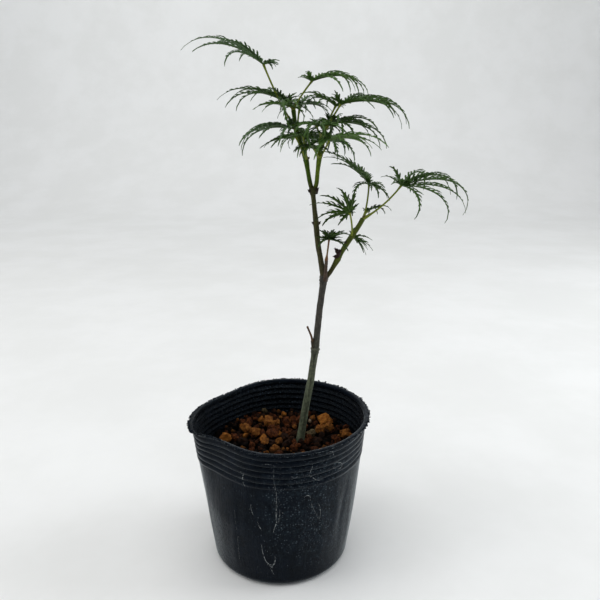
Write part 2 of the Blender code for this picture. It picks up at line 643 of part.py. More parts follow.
# --------------------------------------------------------------------- main
def main():
    """Build the pot, the mix, the wood and the leaves, each clear of the others."""
    clear_scene()
    plant = new_collection("potted_japanese_maple")
    cutters = new_collection("cutters", hidden=True)
    bark, green, leaf_green = new_material("bark"), new_material("green_wood"), new_material("leaf")

    make_pot(plant, cutters)
    make_mix(plant)
    wood = [make_limb("trunk", TRUNK, [], plant, bark, TRUNK_BUDS, [PRUNED_TWIG])]
    limbs = (("leader", LEADER, bark, LEADER_BUDS), ("left_shoot", LEFT_SHOOT, green, ()),
             ("right_shoot", RIGHT_SHOOT, green, ()), ("right_bough", RIGHT_BOUGH, green, BOUGH_BUDS),
             ("spur", SPUR, bark, ()))
    for name, stations, material, buds in limbs:
        trees = [tree_of(w) for w in wood]
        wood.append(make_limb(name, stations, trees, plant, material, buds))

    trees = [tree_of(w) for w in wood]
    for leaf in LEAVES:
        trees.append(tree_of(make_leaf(leaf, trees, plant, leaf_green)))

    for obj in plant.objects:
        obj.data.shade_smooth()
        obj.data.set_sharp_from_angle(angle=math.radians(35))


main()
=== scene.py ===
"""Potted japanese maple: the looks of a young cut-leaf sapling in a soft nursery pot.

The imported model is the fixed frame. Every node of it is replaced by finer pieces that
keep its place and its reach. Sizes are written in millimetres and become metres as a
vertex is placed: +Z up, the origin under the middle of the pot, the viewer towards -Y.
"""
import logging
from collections.abc import Callable, Iterator, Sequence
from dataclasses import dataclass, field
from enum import Enum
from itertools import pairwise
from math import atan2, copysign, cos, degrees, exp, hypot, pi, radians, sin, sqrt, tan, tau
from random import Random
from typing import NamedTuple

import bpy
from mathutils import Matrix, Vector, noise
from mathutils.bvhtree import BVHTree


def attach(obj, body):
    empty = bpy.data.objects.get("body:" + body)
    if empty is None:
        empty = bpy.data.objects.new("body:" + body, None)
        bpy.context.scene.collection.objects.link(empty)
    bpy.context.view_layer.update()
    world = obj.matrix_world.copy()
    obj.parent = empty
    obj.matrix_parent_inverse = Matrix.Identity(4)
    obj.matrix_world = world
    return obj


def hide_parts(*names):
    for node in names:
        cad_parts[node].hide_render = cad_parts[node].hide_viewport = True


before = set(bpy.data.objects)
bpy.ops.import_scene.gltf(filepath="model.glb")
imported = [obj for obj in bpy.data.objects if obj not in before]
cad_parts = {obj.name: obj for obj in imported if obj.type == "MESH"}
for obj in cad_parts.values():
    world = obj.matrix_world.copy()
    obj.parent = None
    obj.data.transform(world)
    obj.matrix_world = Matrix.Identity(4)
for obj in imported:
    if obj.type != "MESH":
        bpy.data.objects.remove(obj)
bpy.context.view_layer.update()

LOG = logging.getLogger("sapling")
MM = 0.001
UP = Vector((0, 0, 1))
BODY = "root"
WELD = 1e-6
STRAIGHT = "straight"

Colour = tuple[float, float, float, float]
Station = tuple[float, float, float, float]
Spot = tuple[float, float, float]
Span = tuple[float, float]
Shape = tuple[list[Vector], list[tuple[int, ...]]]
Midline = list[tuple[Vector, Vector]]
Piece = bpy.types.Object
Material = bpy.types.Material
Tree = bpy.types.NodeTree
Socket = bpy.types.NodeSocket
Sockets = bpy.types.bpy_prop_collection


class Slot(Enum):
    """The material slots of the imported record."""

    POT = "pot"
    MIX = "potting_mix"
    BARK = "bark"
    GREEN_WOOD = "green_wood"
    FOLIAGE = "foliage"


POT, MIX, BARK, GREEN_WOOD, FOLIAGE = Slot


class Tint(Enum):
    """The greens that are dealt out leaf by leaf."""

    DEEP = "deep"
    BLUE = "blue"
    MID = "mid"
    # a saturated green darkened as painted shade, for leaves low in and inside the crown
    FRESH = "fresh"


DEEP, BLUE, MID, FRESH = Tint


class Grain(Enum):
    """The kinds of clay granule in the potting mix."""

    RUST = "rust"
    OCHRE = "ochre"
    UMBER = "umber"
    AMBER = "amber"
    STONE = "stone"


RUST, OCHRE, UMBER, AMBER, STONE = Grain


# ---- mesh work
def start_piece() -> None:
    """Deselect everything, so that the next operator acts on the new piece alone."""
    bpy.ops.object.select_all(action="DESELECT")


def single_out(obj: Piece) -> None:
    """Make a piece the active one and the only one that is selected."""
    start_piece()
    obj.select_set(True)
    bpy.context.view_layer.objects.active = obj


def begin_edit() -> None:
    """Open the active piece in edit mode with all of it selected."""
    bpy.ops.object.mode_set(mode="EDIT")
    bpy.ops.mesh.select_all(action="SELECT")


def close_seams() -> None:
    """Merge doubles and point the faces outwards, then leave edit mode."""
    bpy.ops.mesh.select_all(action="SELECT")
    bpy.ops.mesh.remove_doubles(threshold=WELD)
    bpy.ops.mesh.normals_make_consistent(inside=False)
    bpy.ops.object.mode_set(mode="OBJECT")


def apply_modifier(obj: Piece, kind: str, settings: dict[str, object]) -> None:
    """Add one modifier to a piece and apply it.

    Args:
        obj: the piece.
        kind: Blender's name for the modifier.
        settings: values for its properties.
    """
    single_out(obj)
    modifier = obj.modifiers.new(kind.lower(), kind)
    for key, value in settings.items():
        setattr(modifier, key, value)
    bpy.ops.object.modifier_apply(modifier=modifier.name)


def smooth_shaded(obj: Piece, angle: float = 180) -> None:
    """Shade a piece smooth wherever its faces turn by less than an angle in degrees."""
    single_out(obj)
    bpy.ops.object.shade_smooth_by_angle(angle=radians(angle))


def spun(name: str, profile: Sequence[Span], steps: int) -> Piece:
    """Spin a section about the Z axis into one closed shell.

    Args:
        name: the piece's name.
        profile: radius and height of each point of the section, from axis to axis.
        steps: how many turns of the section make the round.

    Returns:
        The new piece, with its normals outwards.
    """
    start_piece()
    bpy.ops.mesh.primitive_plane_add(size=MM)
    obj = bpy.context.object
    obj.name = name
    begin_edit()
    bpy.ops.mesh.merge(type="CENTER")
    bpy.ops.transform.translate(value=(profile[0][0] * MM, 0, profile[0][1] * MM))
    for before, here in pairwise(profile):
        step = ((here[0] - before[0]) * MM, 0, (here[1] - before[1]) * MM)
        bpy.ops.mesh.extrude_vertices_move(TRANSFORM_OT_translate={"value": step})
    bpy.ops.mesh.select_all(action="SELECT")
    bpy.ops.mesh.spin(steps=steps, angle=tau, center=(0, 0, 0), axis=(0, 0, 1))
    close_seams()
    return obj


def reshape(obj: Piece, move: Callable[[Vector], Vector]) -> None:
    """Move each vertex of a piece by a rule in millimetres."""
    for vertex in obj.data.vertices:
        vertex.co = move(vertex.co / MM) * MM


def taken(obj: Piece) -> Shape:
    """Take a small shape off the scene: its vertices in millimetres, and its faces."""
    points = [v.co / MM for v in obj.data.vertices]
    faces = [tuple(p.vertices) for p in obj.data.polygons]
    bpy.data.objects.remove(obj, do_unlink=True)
    return points, faces


def hand_over(obj: Piece, slot: Slot, nodes: Sequence[str]) -> None:
    """Let a finished piece ride on the body and stand for CAD nodes.

    Args:
        obj: the piece, in its place.
        slot: the record's material slot; not used.
        nodes: the CAD nodes that it stands for.
    """
    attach(obj, BODY)
    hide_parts(*nodes)
    LOG.info("%s: %d faces, stands for %s", obj.name, len(obj.data.polygons), ", ".join(nodes))


def present(obj: Piece, angle: float, slot: Slot, nodes: Sequence[str], *materials: Material) -> None:
    """Shade, dress and hand over a piece.

    Args:
        obj: the piece, in its place.
        angle: the turn in degrees from which its edges are sharp.
        slot: the record's material slot.
        nodes: the CAD nodes that it stands for.
        materials: its materials.
    """
    smooth_shaded(obj, angle)
    dress(obj, *materials)
    hand_over(obj, slot, nodes)


class Skin:
    """Vertices and faces of many small things on their way into one mesh."""

    def __init__(self) -> None:
        """Start with nothing."""
        self.points: list[Vector] = []
        self.faces: list[tuple[int, ...]] = []
        self.corners: list[Span] = []

    def put(self, point: Vector) -> int:
        """Add a vertex in millimetres and return its number."""
        self.points.append(point)
        return len(self.points) - 1

    def quad(self, ring: Sequence[int], spots: Sequence[Span], flip: bool) -> None:
        """Add a face by its vertex numbers, with a UV spot for each, turned over if it is to flip."""
        self.faces.append(tuple(reversed(ring)) if flip else tuple(ring))
        self.corners.extend(reversed(spots) if flip else spots)

    def shape(self, shape: Shape, place: Matrix) -> None:
        """Add a copy of a small shape at a place."""
        first = len(self.points)
        self.points.extend(place @ p for p in shape[0])
        self.faces.extend(tuple(first + i for i in face) for face in shape[1])

    def tube(self, path: Sequence[Vector], radii: Sequence[float], sides: int) -> None:
        """Add a closed round bar.

        Args:
            path: the points of its axis.
            radii: its radius at each of them.
            sides: how many faces go round it.
        """
        first = len(self.points)
        for point, radius, (_, across, up) in zip(path, radii, carried(path)):
            self.points.extend(point + radius * turned(across, up, tau * i / sides)
                               for i in range(sides))
        for row in range(len(path) - 1):
            a = first + row * sides
            for i in range(sides):
                j = (i + 1) % sides
                self.faces.append((a + i, a + j, a + sides + j, a + sides + i))
        last = first + (len(path) - 1) * sides
        self.faces.append(tuple(first + i for i in reversed(range(sides))))
        self.faces.append(tuple(last + i for i in range(sides)))

    def build(self, name: str) -> Piece:
        """Make the mesh.

        Args:
            name: the piece's name.

        Returns:
            The new piece.
        """
        mesh = bpy.data.meshes.new(name)
        mesh.from_pydata([p * MM for p in self.points], [], self.faces)
        if self.corners:
            layer = mesh.uv_layers.new(name="blade")
            layer.data.foreach_set("uv", [value for spot in self.corners for value in spot])
        obj = bpy.data.objects.new(name, mesh)
        bpy.context.scene.collection.objects.link(obj)
        return obj


# ---- path work
def spoke(turn: float, reach: float = 1, height: float = 0) -> Vector:
    """Give the point at an angle in radians, a distance from the Z axis and a height."""
    return Vector((reach * cos(turn), reach * sin(turn), height))


def turned(first: Vector, second: Vector, turn: float) -> Vector:
    """Turn from one direction towards another by an angle in radians."""
    return first * cos(turn) + second * sin(turn)


def bearing(point: Vector) -> float:
    """Give a point's angle about the Z axis in degrees."""
    return degrees(atan2(point.y, point.x))


def outward(point: Vector) -> Vector:
    """Give the level direction from the Z axis to a point."""
    return Vector((point.x, point.y, 0)).normalized()


def strewn(rng: Random) -> Vector:
    """Draw a direction by chance."""
    return Vector(rng.gauss(0, 1) for _ in range(3)).normalized()


def spline(a: Vector, b: Vector, c: Vector, d: Vector, t: float) -> tuple[Vector, Vector]:
    """Read a smooth curve and its direction at a share of the way from point b to point c."""
    square, cube = 2 * a - 5 * b + 4 * c - d, 3 * b - a - 3 * c + d
    return (0.5 * (2 * b + (c - a) * t + square * t * t + cube * t ** 3),
            (c - a) + 2 * square * t + 3 * cube * t * t)


def curved(stations: Sequence[Sequence[float]], per_span: int) -> list[Vector]:
    """Read a smooth curve through stations of any size.

    Args:
        stations: the points that the curve passes.
        per_span: how many points come out for each span.

    Returns:
        The points, both ends among them.
    """
    rows = [Vector(s) for s in stations]
    rows = [2 * rows[0] - rows[1]] + rows + [2 * rows[-1] - rows[-2]]
    spans = zip(rows, rows[1:], rows[2:], rows[3:])
    return [spline(*span, i / per_span)[0] for span in spans for i in range(per_span)] + [rows[-2]]


def evenly(path: Sequence[Vector], step: float) -> list[Vector]:
    """Read points at an even distance along a path of x, y, z and radius.

    Args:
        path: close points of the path.
        step: the distance wanted.

    Returns:
        The points, both ends among them.
    """
    spans = [(b.xyz - a.xyz).length for a, b in pairwise(path)]
    count = max(2, round(sum(spans) / step))
    gap = sum(spans) / count
    result = [path[0].copy()]
    walked = 0
    for (a, b), span in zip(pairwise(path), spans):
        while len(result) < count and walked + span >= len(result) * gap:
            result.append(a.lerp(b, (len(result) * gap - walked) / span))
        walked += span
    result.append(path[-1].copy())
    return result


def carried(path: Sequence[Vector]) -> list[tuple[Vector, Vector, Vector]]:
    """Carry a cross frame along a path without twist.

    Args:
        path: the points of the path.

    Returns:
        The direction of the path and two directions across it, at each point.
    """
    last = len(path) - 1
    across = None
    result = []
    for i in range(last + 1):
        along = (path[min(i + 1, last)].xyz - path[max(i - 1, 0)].xyz).normalized()
        across = along.orthogonal() if across is None else across - along * across.dot(along)
        across = across.normalized()
        result.append((along, across, along.cross(across)))
    return result


def hump(off: float, width: float) -> float:
    """Give a smooth hump, 1 in its middle, at a distance off it."""
    return exp(-(off / width) ** 2)


def hump_round(angle: float, centre: float, width: float) -> float:
    """Give a smooth hump round an angle, in degrees."""
    return hump((angle - centre + 180) % 360 - 180, width)


def eased(low: float, high: float, value: float) -> float:
    """Rise smoothly from 0 at low to 1 at high."""
    share = min(max((value - low) / (high - low), 0), 1)
    return share * share * (3 - 2 * share)


# ---- finishes
class Graph:
    """A shader tree, with short ways to add to it."""

    def __init__(self, tree: Tree) -> None:
        """Take the tree that is added to."""
        self.tree = tree

    def feed(self, socket: Socket, value: object) -> None:
        """Link a socket to another one, or set it to a constant."""
        if isinstance(value, Socket):
            self.tree.links.new(value, socket)
        else:
            socket.default_value = value

    def node(self, kind: str, inputs: dict[str | int, object] | None = None,
             **settings: object) -> bpy.types.Node:
        """Add a shader node.

        Args:
            kind: Blender's name for it, without its ShaderNode prefix.
            inputs: a constant or a socket to link, for each input.
            settings: values for its properties.

        Returns:
            The node.
        """
        node = self.tree.nodes.new("ShaderNode" + kind)
        for key, value in settings.items():
            setattr(node, key, value)
        for key, value in (inputs or {}).items():
            self.feed(node.inputs[key], value)
        return node

    def noise(self, place: Socket, scale: object, detail: float, roughness: float = 0.5) -> bpy.types.Node:
        """Add a noise texture that reads a place."""
        return self.node("TexNoise", {"Vector": place, "Scale": scale, "Detail": detail,
                                      "Roughness": roughness})

    def blended(self, share: object, first: object, second: object, blend_type: str = "MIX") -> Socket:
        """Lay a second colour over a first one by a share and return the mix's socket."""
        return self.node("Mix", {0: share, 6: first, 7: second}, data_type="RGBA",
                         blend_type=blend_type).outputs[2]

    def ranged(self, value: Socket, low: object, high: object, to_low: float = 0,
               to_high: float = 1) -> Socket:
        """Map a value smoothly from one range to another and return its socket."""
        return self.node("MapRange", {"Value": value, "From Min": low, "From Max": high,
                                      "To Min": to_low, "To Max": to_high},
                         interpolation_type="SMOOTHSTEP").outputs["Result"]

    def reckoned(self, operation: str, *values: object) -> Socket:
        """Do one step of arithmetic on constants or sockets and return its socket."""
        return self.node("Math", dict(enumerate(values)), operation=operation).outputs[0]

    def layered(self, colour: object, *layers: tuple[Socket, float, Colour]) -> Socket:
        """Lay colours over one another, each by a mask and a share, and return the socket."""
        for mask, share, over in layers:
            colour = self.blended(self.reckoned("MULTIPLY", mask, share), colour, over)
        return colour


class Patterns:
    """The surface patterns that several finishes share, each a node group built once."""

    def __init__(self) -> None:
        """Build the groups."""
        self.streaks = self._streaks()
        self.specks = self._specks()
        self.mottle = self._mottle()

    @staticmethod
    def _group(name: str, takes: dict[str, str], gives: dict[str, str]) -> tuple[Graph, Sockets, Sockets]:
        """Start a group with named sockets.

        Args:
            name: the group's name.
            takes: the kind of each input but the vector, by name.
            gives: the kind of each output, by name.

        Returns:
            The group's graph, the sockets that it reads and those that it feeds.
        """
        tree = bpy.data.node_groups.new(name, "ShaderNodeTree")
        for in_out, sockets in (("INPUT", {"Vector": "Vector"} | takes), ("OUTPUT", gives)):
            for label, kind in sockets.items():
                tree.interface.new_socket(name=label, in_out=in_out, socket_type="NodeSocket" + kind)
        return Graph(tree), tree.nodes.new("NodeGroupInput").outputs, tree.nodes.new("NodeGroupOutput").inputs

    def _streaks(self) -> Tree:
        """Build lengthwise streaks: a mask of the strong ones, and their relief."""
        takes = dict.fromkeys(("Across", "Along", "From", "To"), "Float")
        graph, source, sink = self._group("streaks", takes, {"Mask": "Float", "Height": "Float"})
        scale = graph.node("CombineXYZ", {"X": source["Across"], "Y": source["Across"], "Z": source["Along"]})
        stretched = graph.node("Mapping", {"Vector": source["Vector"], "Scale": scale.outputs[0]})
        grain = graph.noise(stretched.outputs[0], 1, 4, 0.6).outputs["Fac"]
        graph.feed(sink["Mask"], graph.ranged(grain, source["From"], source["To"]))
        graph.feed(sink["Height"], grain)
        return graph.tree

    def _specks(self) -> Tree:
        """Build scattered specks: a mask with a few round spots of one size."""
        takes = dict.fromkeys(("Scale", "Size", "Share"), "Float")
        graph, source, sink = self._group("specks", takes, {"Mask": "Float"})
        wobble = graph.noise(source["Vector"], 1.7, 2).outputs["Color"]
        bent = graph.node("VectorMath", {0: wobble, 1: (0.5, 0.5, 0.5), 2: source["Vector"]},
                          operation="MULTIPLY_ADD")
        cells = graph.node("TexVoronoi", {"Vector": bent.outputs[0], "Scale": source["Scale"]}).outputs
        spot = graph.ranged(cells["Distance"], source["Size"], 0)
        lot = graph.node("SeparateColor", {"Color": cells["Color"]}).outputs[0]
        chosen = graph.reckoned("LESS_THAN", lot, source["Share"])
        graph.feed(sink["Mask"], graph.reckoned("MULTIPLY", spot, chosen))
        return graph.tree

    def _mottle(self) -> Tree:
        """Build a soft patchwork of two colours, and its relief."""
        takes = {"Scale": "Float", "First": "Color", "Second": "Color"}
        graph, source, sink = self._group("mottle", takes, {"Color": "Color", "Height": "Float"})
        patches = graph.noise(source["Vector"], source["Scale"], 5, 0.65).outputs["Fac"]
        share = graph.ranged(patches, 0.36, 0.66)
        graph.feed(sink["Color"], graph.blended(share, source["First"], source["Second"]))
        graph.feed(sink["Height"], patches)
        return graph.tree


PATTERNS = Patterns()


class Sheet(Graph):
    """A material in the making: its shader and the place that patterns read."""

    def __init__(self, name: str, attribute: str = "") -> None:
        """Start a material.

        Args:
            name: the material's name.
            attribute: the attribute that patterns follow, or none for Object coordinates.
        """
        self.material = bpy.data.materials.new(name)
        self.material.use_nodes = True
        super().__init__(self.material.node_tree)
        self.shader = self.tree.nodes["Principled BSDF"]
        if attribute:
            self.place = self.node("Attribute", attribute_name=attribute).outputs["Vector"]
        else:
            seat = self.node("TexCoord").outputs["Object"]
            self.place = self.node("Mapping", {"Vector": seat, "Scale": (1 / MM,) * 3}).outputs[0]

    def _pattern(self, group: Tree, **values: object) -> Sockets:
        """Place a shared pattern with its own values and return its outputs."""
        return self.node("Group", {"Vector": self.place, **values}, node_tree=group).outputs

    def mottled(self, scale: float, first: Colour, second: Colour) -> tuple[Socket, Socket]:
        """Place the mottle and return its colour and its relief."""
        spread = self._pattern(PATTERNS.mottle, Scale=scale, First=first, Second=second)
        return spread["Color"], spread["Height"]

    def streaked(self, across: float, along: float, low: float, high: float) -> tuple[Socket, Socket]:
        """Place the streaks and return their mask and their relief."""
        spread = self._pattern(PATTERNS.streaks, Across=across, Along=along, From=low, To=high)
        return spread["Mask"], spread["Height"]

    def speckled(self, scale: float, size: float, share: float) -> Socket:
        """Place the specks and return their mask."""
        return self._pattern(PATTERNS.specks, Scale=scale, Size=size, Share=share)["Mask"]

    def settle(self, colour: Socket, grain: Socket, shine: Span, height: Socket, depth: float,
               strength: float = 1, grain_top: float = 0.7, **constants: object) -> Material:
        """Join the finish to the shader.

        Args:
            colour: the base colour.
            grain: the relief that the roughness follows.
            shine: the least and greatest roughness.
            height: the relief that turns the normals.
            depth: how deep it is, in millimetres.
            strength: how strongly it turns them.
            grain_top: the grain's value where the roughness is greatest.
            constants: values for the shader's own sockets, with _ for a space.

        Returns:
            The material.
        """
        bump = self.node("Bump", {"Height": height, "Distance": depth * MM, "Strength": strength})
        joined = {"Base Color": colour, "Roughness": self.ranged(grain, 0.3, grain_top, *shine),
                  "Normal": bump.outputs[0]}
        for key, value in (joined | constants).items():
            self.feed(self.shader.inputs[key.replace("_", " ")], value)
        return self.material


def dress(obj: Piece, *materials: Material) -> None:
    """Give a piece its materials."""
    obj.data.materials.clear()
    for material in materials:
        obj.data.materials.append(material)


@dataclass(frozen=True)
class FilmFinish:
    """Soft black polyethylene with dust, dried drip marks and specks of minerals, a haze on the stained side
    that is partly painted sheen, and specks that inside the pot are painted glints.
    """

    name: str = "outer"
    film: Colour = (0.0005, 0.0013, 0.0036, 1)
    cloud: Colour = (0.0018, 0.0036, 0.008, 1)
    # a dust haze over the stained side that is partly painted sheen
    haze_and_sheen: Colour = (0.015, 0.024, 0.032, 1)
    dust: Colour = (0.034, 0.044, 0.05, 1)
    # colour of the specks of minerals; inside the pot they also stand in as painted glints
    mineral_and_glint: Colour = (0.15, 0.19, 0.22, 1)
    # middle and reach of the stained side; outside, its haze is also painted sheen
    stain_and_sheen_at: Spot = (27, -40, 52)
    stain_and_sheen_reach: float = 50
    shine: Span = (0.24, 0.42)
    ripple: float = 0.3
    specular: float = 0.054
    fuzz: float = 0.38

    def material(self) -> Material:
        """Build the material."""
        sheet = Sheet(self.name + "_film")
        colour, _ = sheet.mottled(scale=0.11, first=self.film, second=self.cloud)
        stain_and_sheen = self._stain_and_sheen_side(sheet)
        bloom = sheet.noise(sheet.place, scale=0.5, detail=6, roughness=0.75).outputs["Fac"]
        # haze over the stained side: part dust, part painted sheen
        sheen_haze = sheet.reckoned("MULTIPLY", sheet.ranged(bloom, 0.42, 0.68), stain_and_sheen)
        rub, _ = sheet.streaked(across=0.45, along=0.016, low=0.6, high=0.84)
        fine_rub, grain = sheet.streaked(across=1.6, along=0.05, low=0.62, high=0.84)
        # specks of minerals on the stained side; inside the pot these are painted glints
        drops_and_glints = sheet.reckoned("MULTIPLY", sheet.speckled(scale=0.62, size=0.34, share=0.5), stain_and_sheen)
        # inside the pot these scattered specks also stand in as painted glints
        dust = sheet.speckled(scale=1.5, size=0.26, share=0.13)
        colour = sheet.layered(colour, (sheen_haze, 0.7, self.haze_and_sheen), (rub, 0.42, self.dust),
                               (fine_rub, 0.22, self.dust), (drops_and_glints, 0.62, self.mineral_and_glint),
                               (dust, 0.25, self.mineral_and_glint))
        return sheet.settle(colour, grain, self.shine, bloom, self.ripple, 0.55, 0.75,
                            Specular_IOR_Level=self.specular, Sheen_Weight=self.fuzz,
                            Sheen_Roughness=0.28, Specular_Tint=(0.78, 0.92, 1, 1),
                            Sheen_Tint=(0.84, 0.96, 1, 1))

    def _stain_and_sheen_side(self, sheet: Sheet) -> Socket:
        """Mask the side where water dried, which also carries painted sheen outside the pot and painted
        glints inside, with ragged edges.

        Args:
            sheet: the material in the making.

        Returns:
            The mask's socket.
        """
        reach = 1 / self.stain_and_sheen_reach
        centred = sheet.node("Mapping", {"Vector": sheet.place, "Scale": (reach,) * 3,
                                         "Location": tuple(-c * reach for c in self.stain_and_sheen_at)})
        ball = sheet.node("TexGradient", {"Vector": centred.outputs[0]}, gradient_type="SPHERICAL")
        patches = sheet.noise(sheet.place, scale=0.13, detail=3)
        ragged = sheet.reckoned("MULTIPLY", ball.outputs["Fac"], patches.outputs["Fac"])
        return sheet.ranged(ragged, 0.03, 0.28, 0.16, 1)


@dataclass(frozen=True)
class CoatFinish:
    """A plain coat in two mottled tones, such as dried lime or the floor's paint."""

    name: str
    first: Colour
    second: Colour
    scale: float = 1.1
    shine: Span = (0.7, 0.95)
    depth: float = 0.08
    strength: float = 1

    def material(self) -> Material:
        """Build the material."""
        sheet = Sheet(self.name)
        colour, relief = sheet.mottled(self.scale, self.first, self.second)
        return sheet.settle(colour, relief, self.shine, relief, self.depth, self.strength)


@dataclass(frozen=True)
class ClayFinish:
    """Baked clay granules: a mottled body with paler dust and dark pores, darker towards the bottom of the
    heap by damp and by painted shade between the granules.
    """

    name: str
    dark: Colour
    light: Colour
    dust: Colour = (0.22, 0.13, 0.06, 1)
    # heights between which the colour goes from dark to full, darkened by damp and by painted shade in the
    # gaps, and the share left at the bottom
    damp_and_shade_below: float = 67.4
    dry_and_unshaded_above: float = 70.6
    damp_and_shade: float = 0.03

    def material(self) -> Material:
        """Build the material."""
        sheet = Sheet("clay_" + self.name)
        body, _ = sheet.mottled(scale=0.55, first=self.dark, second=self.light)
        fine, grain = sheet.mottled(scale=2.6, first=(0.26, 0.22, 0.19, 1), second=(1.18, 1.15, 1.12, 1))
        colour = sheet.blended(1, body, fine, "MULTIPLY")
        colour = sheet.layered(colour, (sheet.speckled(scale=1.9, size=0.34, share=0.2), 0.5, self.dust))
        height = sheet.node("SeparateXYZ", {"Vector": sheet.place}).outputs["Z"]
        # darker towards the bottom: damp and painted shade between the granules
        unshaded_dryness = sheet.ranged(height, self.damp_and_shade_below, self.dry_and_unshaded_above, self.damp_and_shade, 1)
        colour = sheet.blended(1, colour, unshaded_dryness, "MULTIPLY")
        return sheet.settle(colour, grain, (0.78, 0.98), grain, 0.7, Specular_IOR_Level=0.1)


@dataclass(frozen=True)
class BarkFinish:
    """Skin of a young stem: two tones along its height, streaks, wrinkles and pores."""

    name: str
    low: Colour
    high: Colour
    streak: Colour
    pore: Colour
    turn_from: float
    turn_to: float
    streak_share: float
    shine: Span = (0.55, 0.8)
    specular: float = 0.25

    def material(self) -> Material:
        """Build the material."""
        sheet = Sheet("skin_" + self.name, STRAIGHT)
        seat = sheet.node("TexCoord").outputs["Object"]
        height = sheet.node("SeparateXYZ", {"Vector": seat}).outputs["Z"]
        turn = sheet.ranged(height, self.turn_from * MM, self.turn_to * MM)
        tone = sheet.blended(turn, self.low, self.high)
        cloudy, _ = sheet.mottled(scale=0.5, first=(0.62, 0.62, 0.62, 1), second=(1.25, 1.22, 1.15, 1))
        colour = sheet.blended(1, tone, cloudy, "MULTIPLY")
        lines, grain = sheet.streaked(across=1.9, along=0.13, low=0.46, high=0.72)
        pores = sheet.speckled(scale=0.95, size=0.24, share=0.3)
        colour = sheet.layered(colour, (lines, self.streak_share, self.streak), (pores, 0.75, self.pore))
        return sheet.settle(colour, grain, self.shine, grain, 0.22, 0.8, Specular_IOR_Level=self.specular)


@dataclass(frozen=True)
class BladeFinish:
    """One side of a leaf blade: its green, paler veins and a satin skin."""

    name: str
    body: Colour
    patch: Colour
    vein: Colour
    shine: Span = (0.36, 0.55)
    specular: float = 0.13

    def material(self) -> Material:
        """Build the material."""
        sheet = Sheet("blade_" + self.name)
        flesh, relief = sheet.mottled(scale=0.35, first=self.body, second=self.patch)
        across = sheet.node("SeparateXYZ", {"Vector": sheet.node("UVMap", uv_map="blade").outputs[0]})
        off = sheet.reckoned("SUBTRACT", across.outputs["X"], 0.5)
        vein = sheet.ranged(sheet.reckoned("ABSOLUTE", off), 0.14, 0.02)
        colour = sheet.layered(flesh, (vein, 0.6, self.vein))
        return sheet.settle(colour, relief, self.shine, vein, 0.08, 0.6, Specular_IOR_Level=self.specular)


@dataclass(frozen=True)
class StalkFinish:
    """Leaf stalks, midribs and buds: a smooth tender skin in two tones."""

    name: str
    body: Colour
    patch: Colour
    scale: float = 0.25
    specular: float = 0.2

    def material(self) -> Material:
        """Build the material."""
        sheet = Sheet("stalk_" + self.name)
        flesh, _ = sheet.mottled(self.scale, self.body, self.patch)
        fine, grain = sheet.mottled(scale=2.6, first=(0.8, 0.8, 0.8, 1), second=(1.1, 1.1, 1, 1))
        colour = sheet.blended(1, flesh, fine, "MULTIPLY")
        return sheet.settle(colour, grain, (0.38, 0.6), grain, 0.05, Specular_IOR_Level=self.specular)


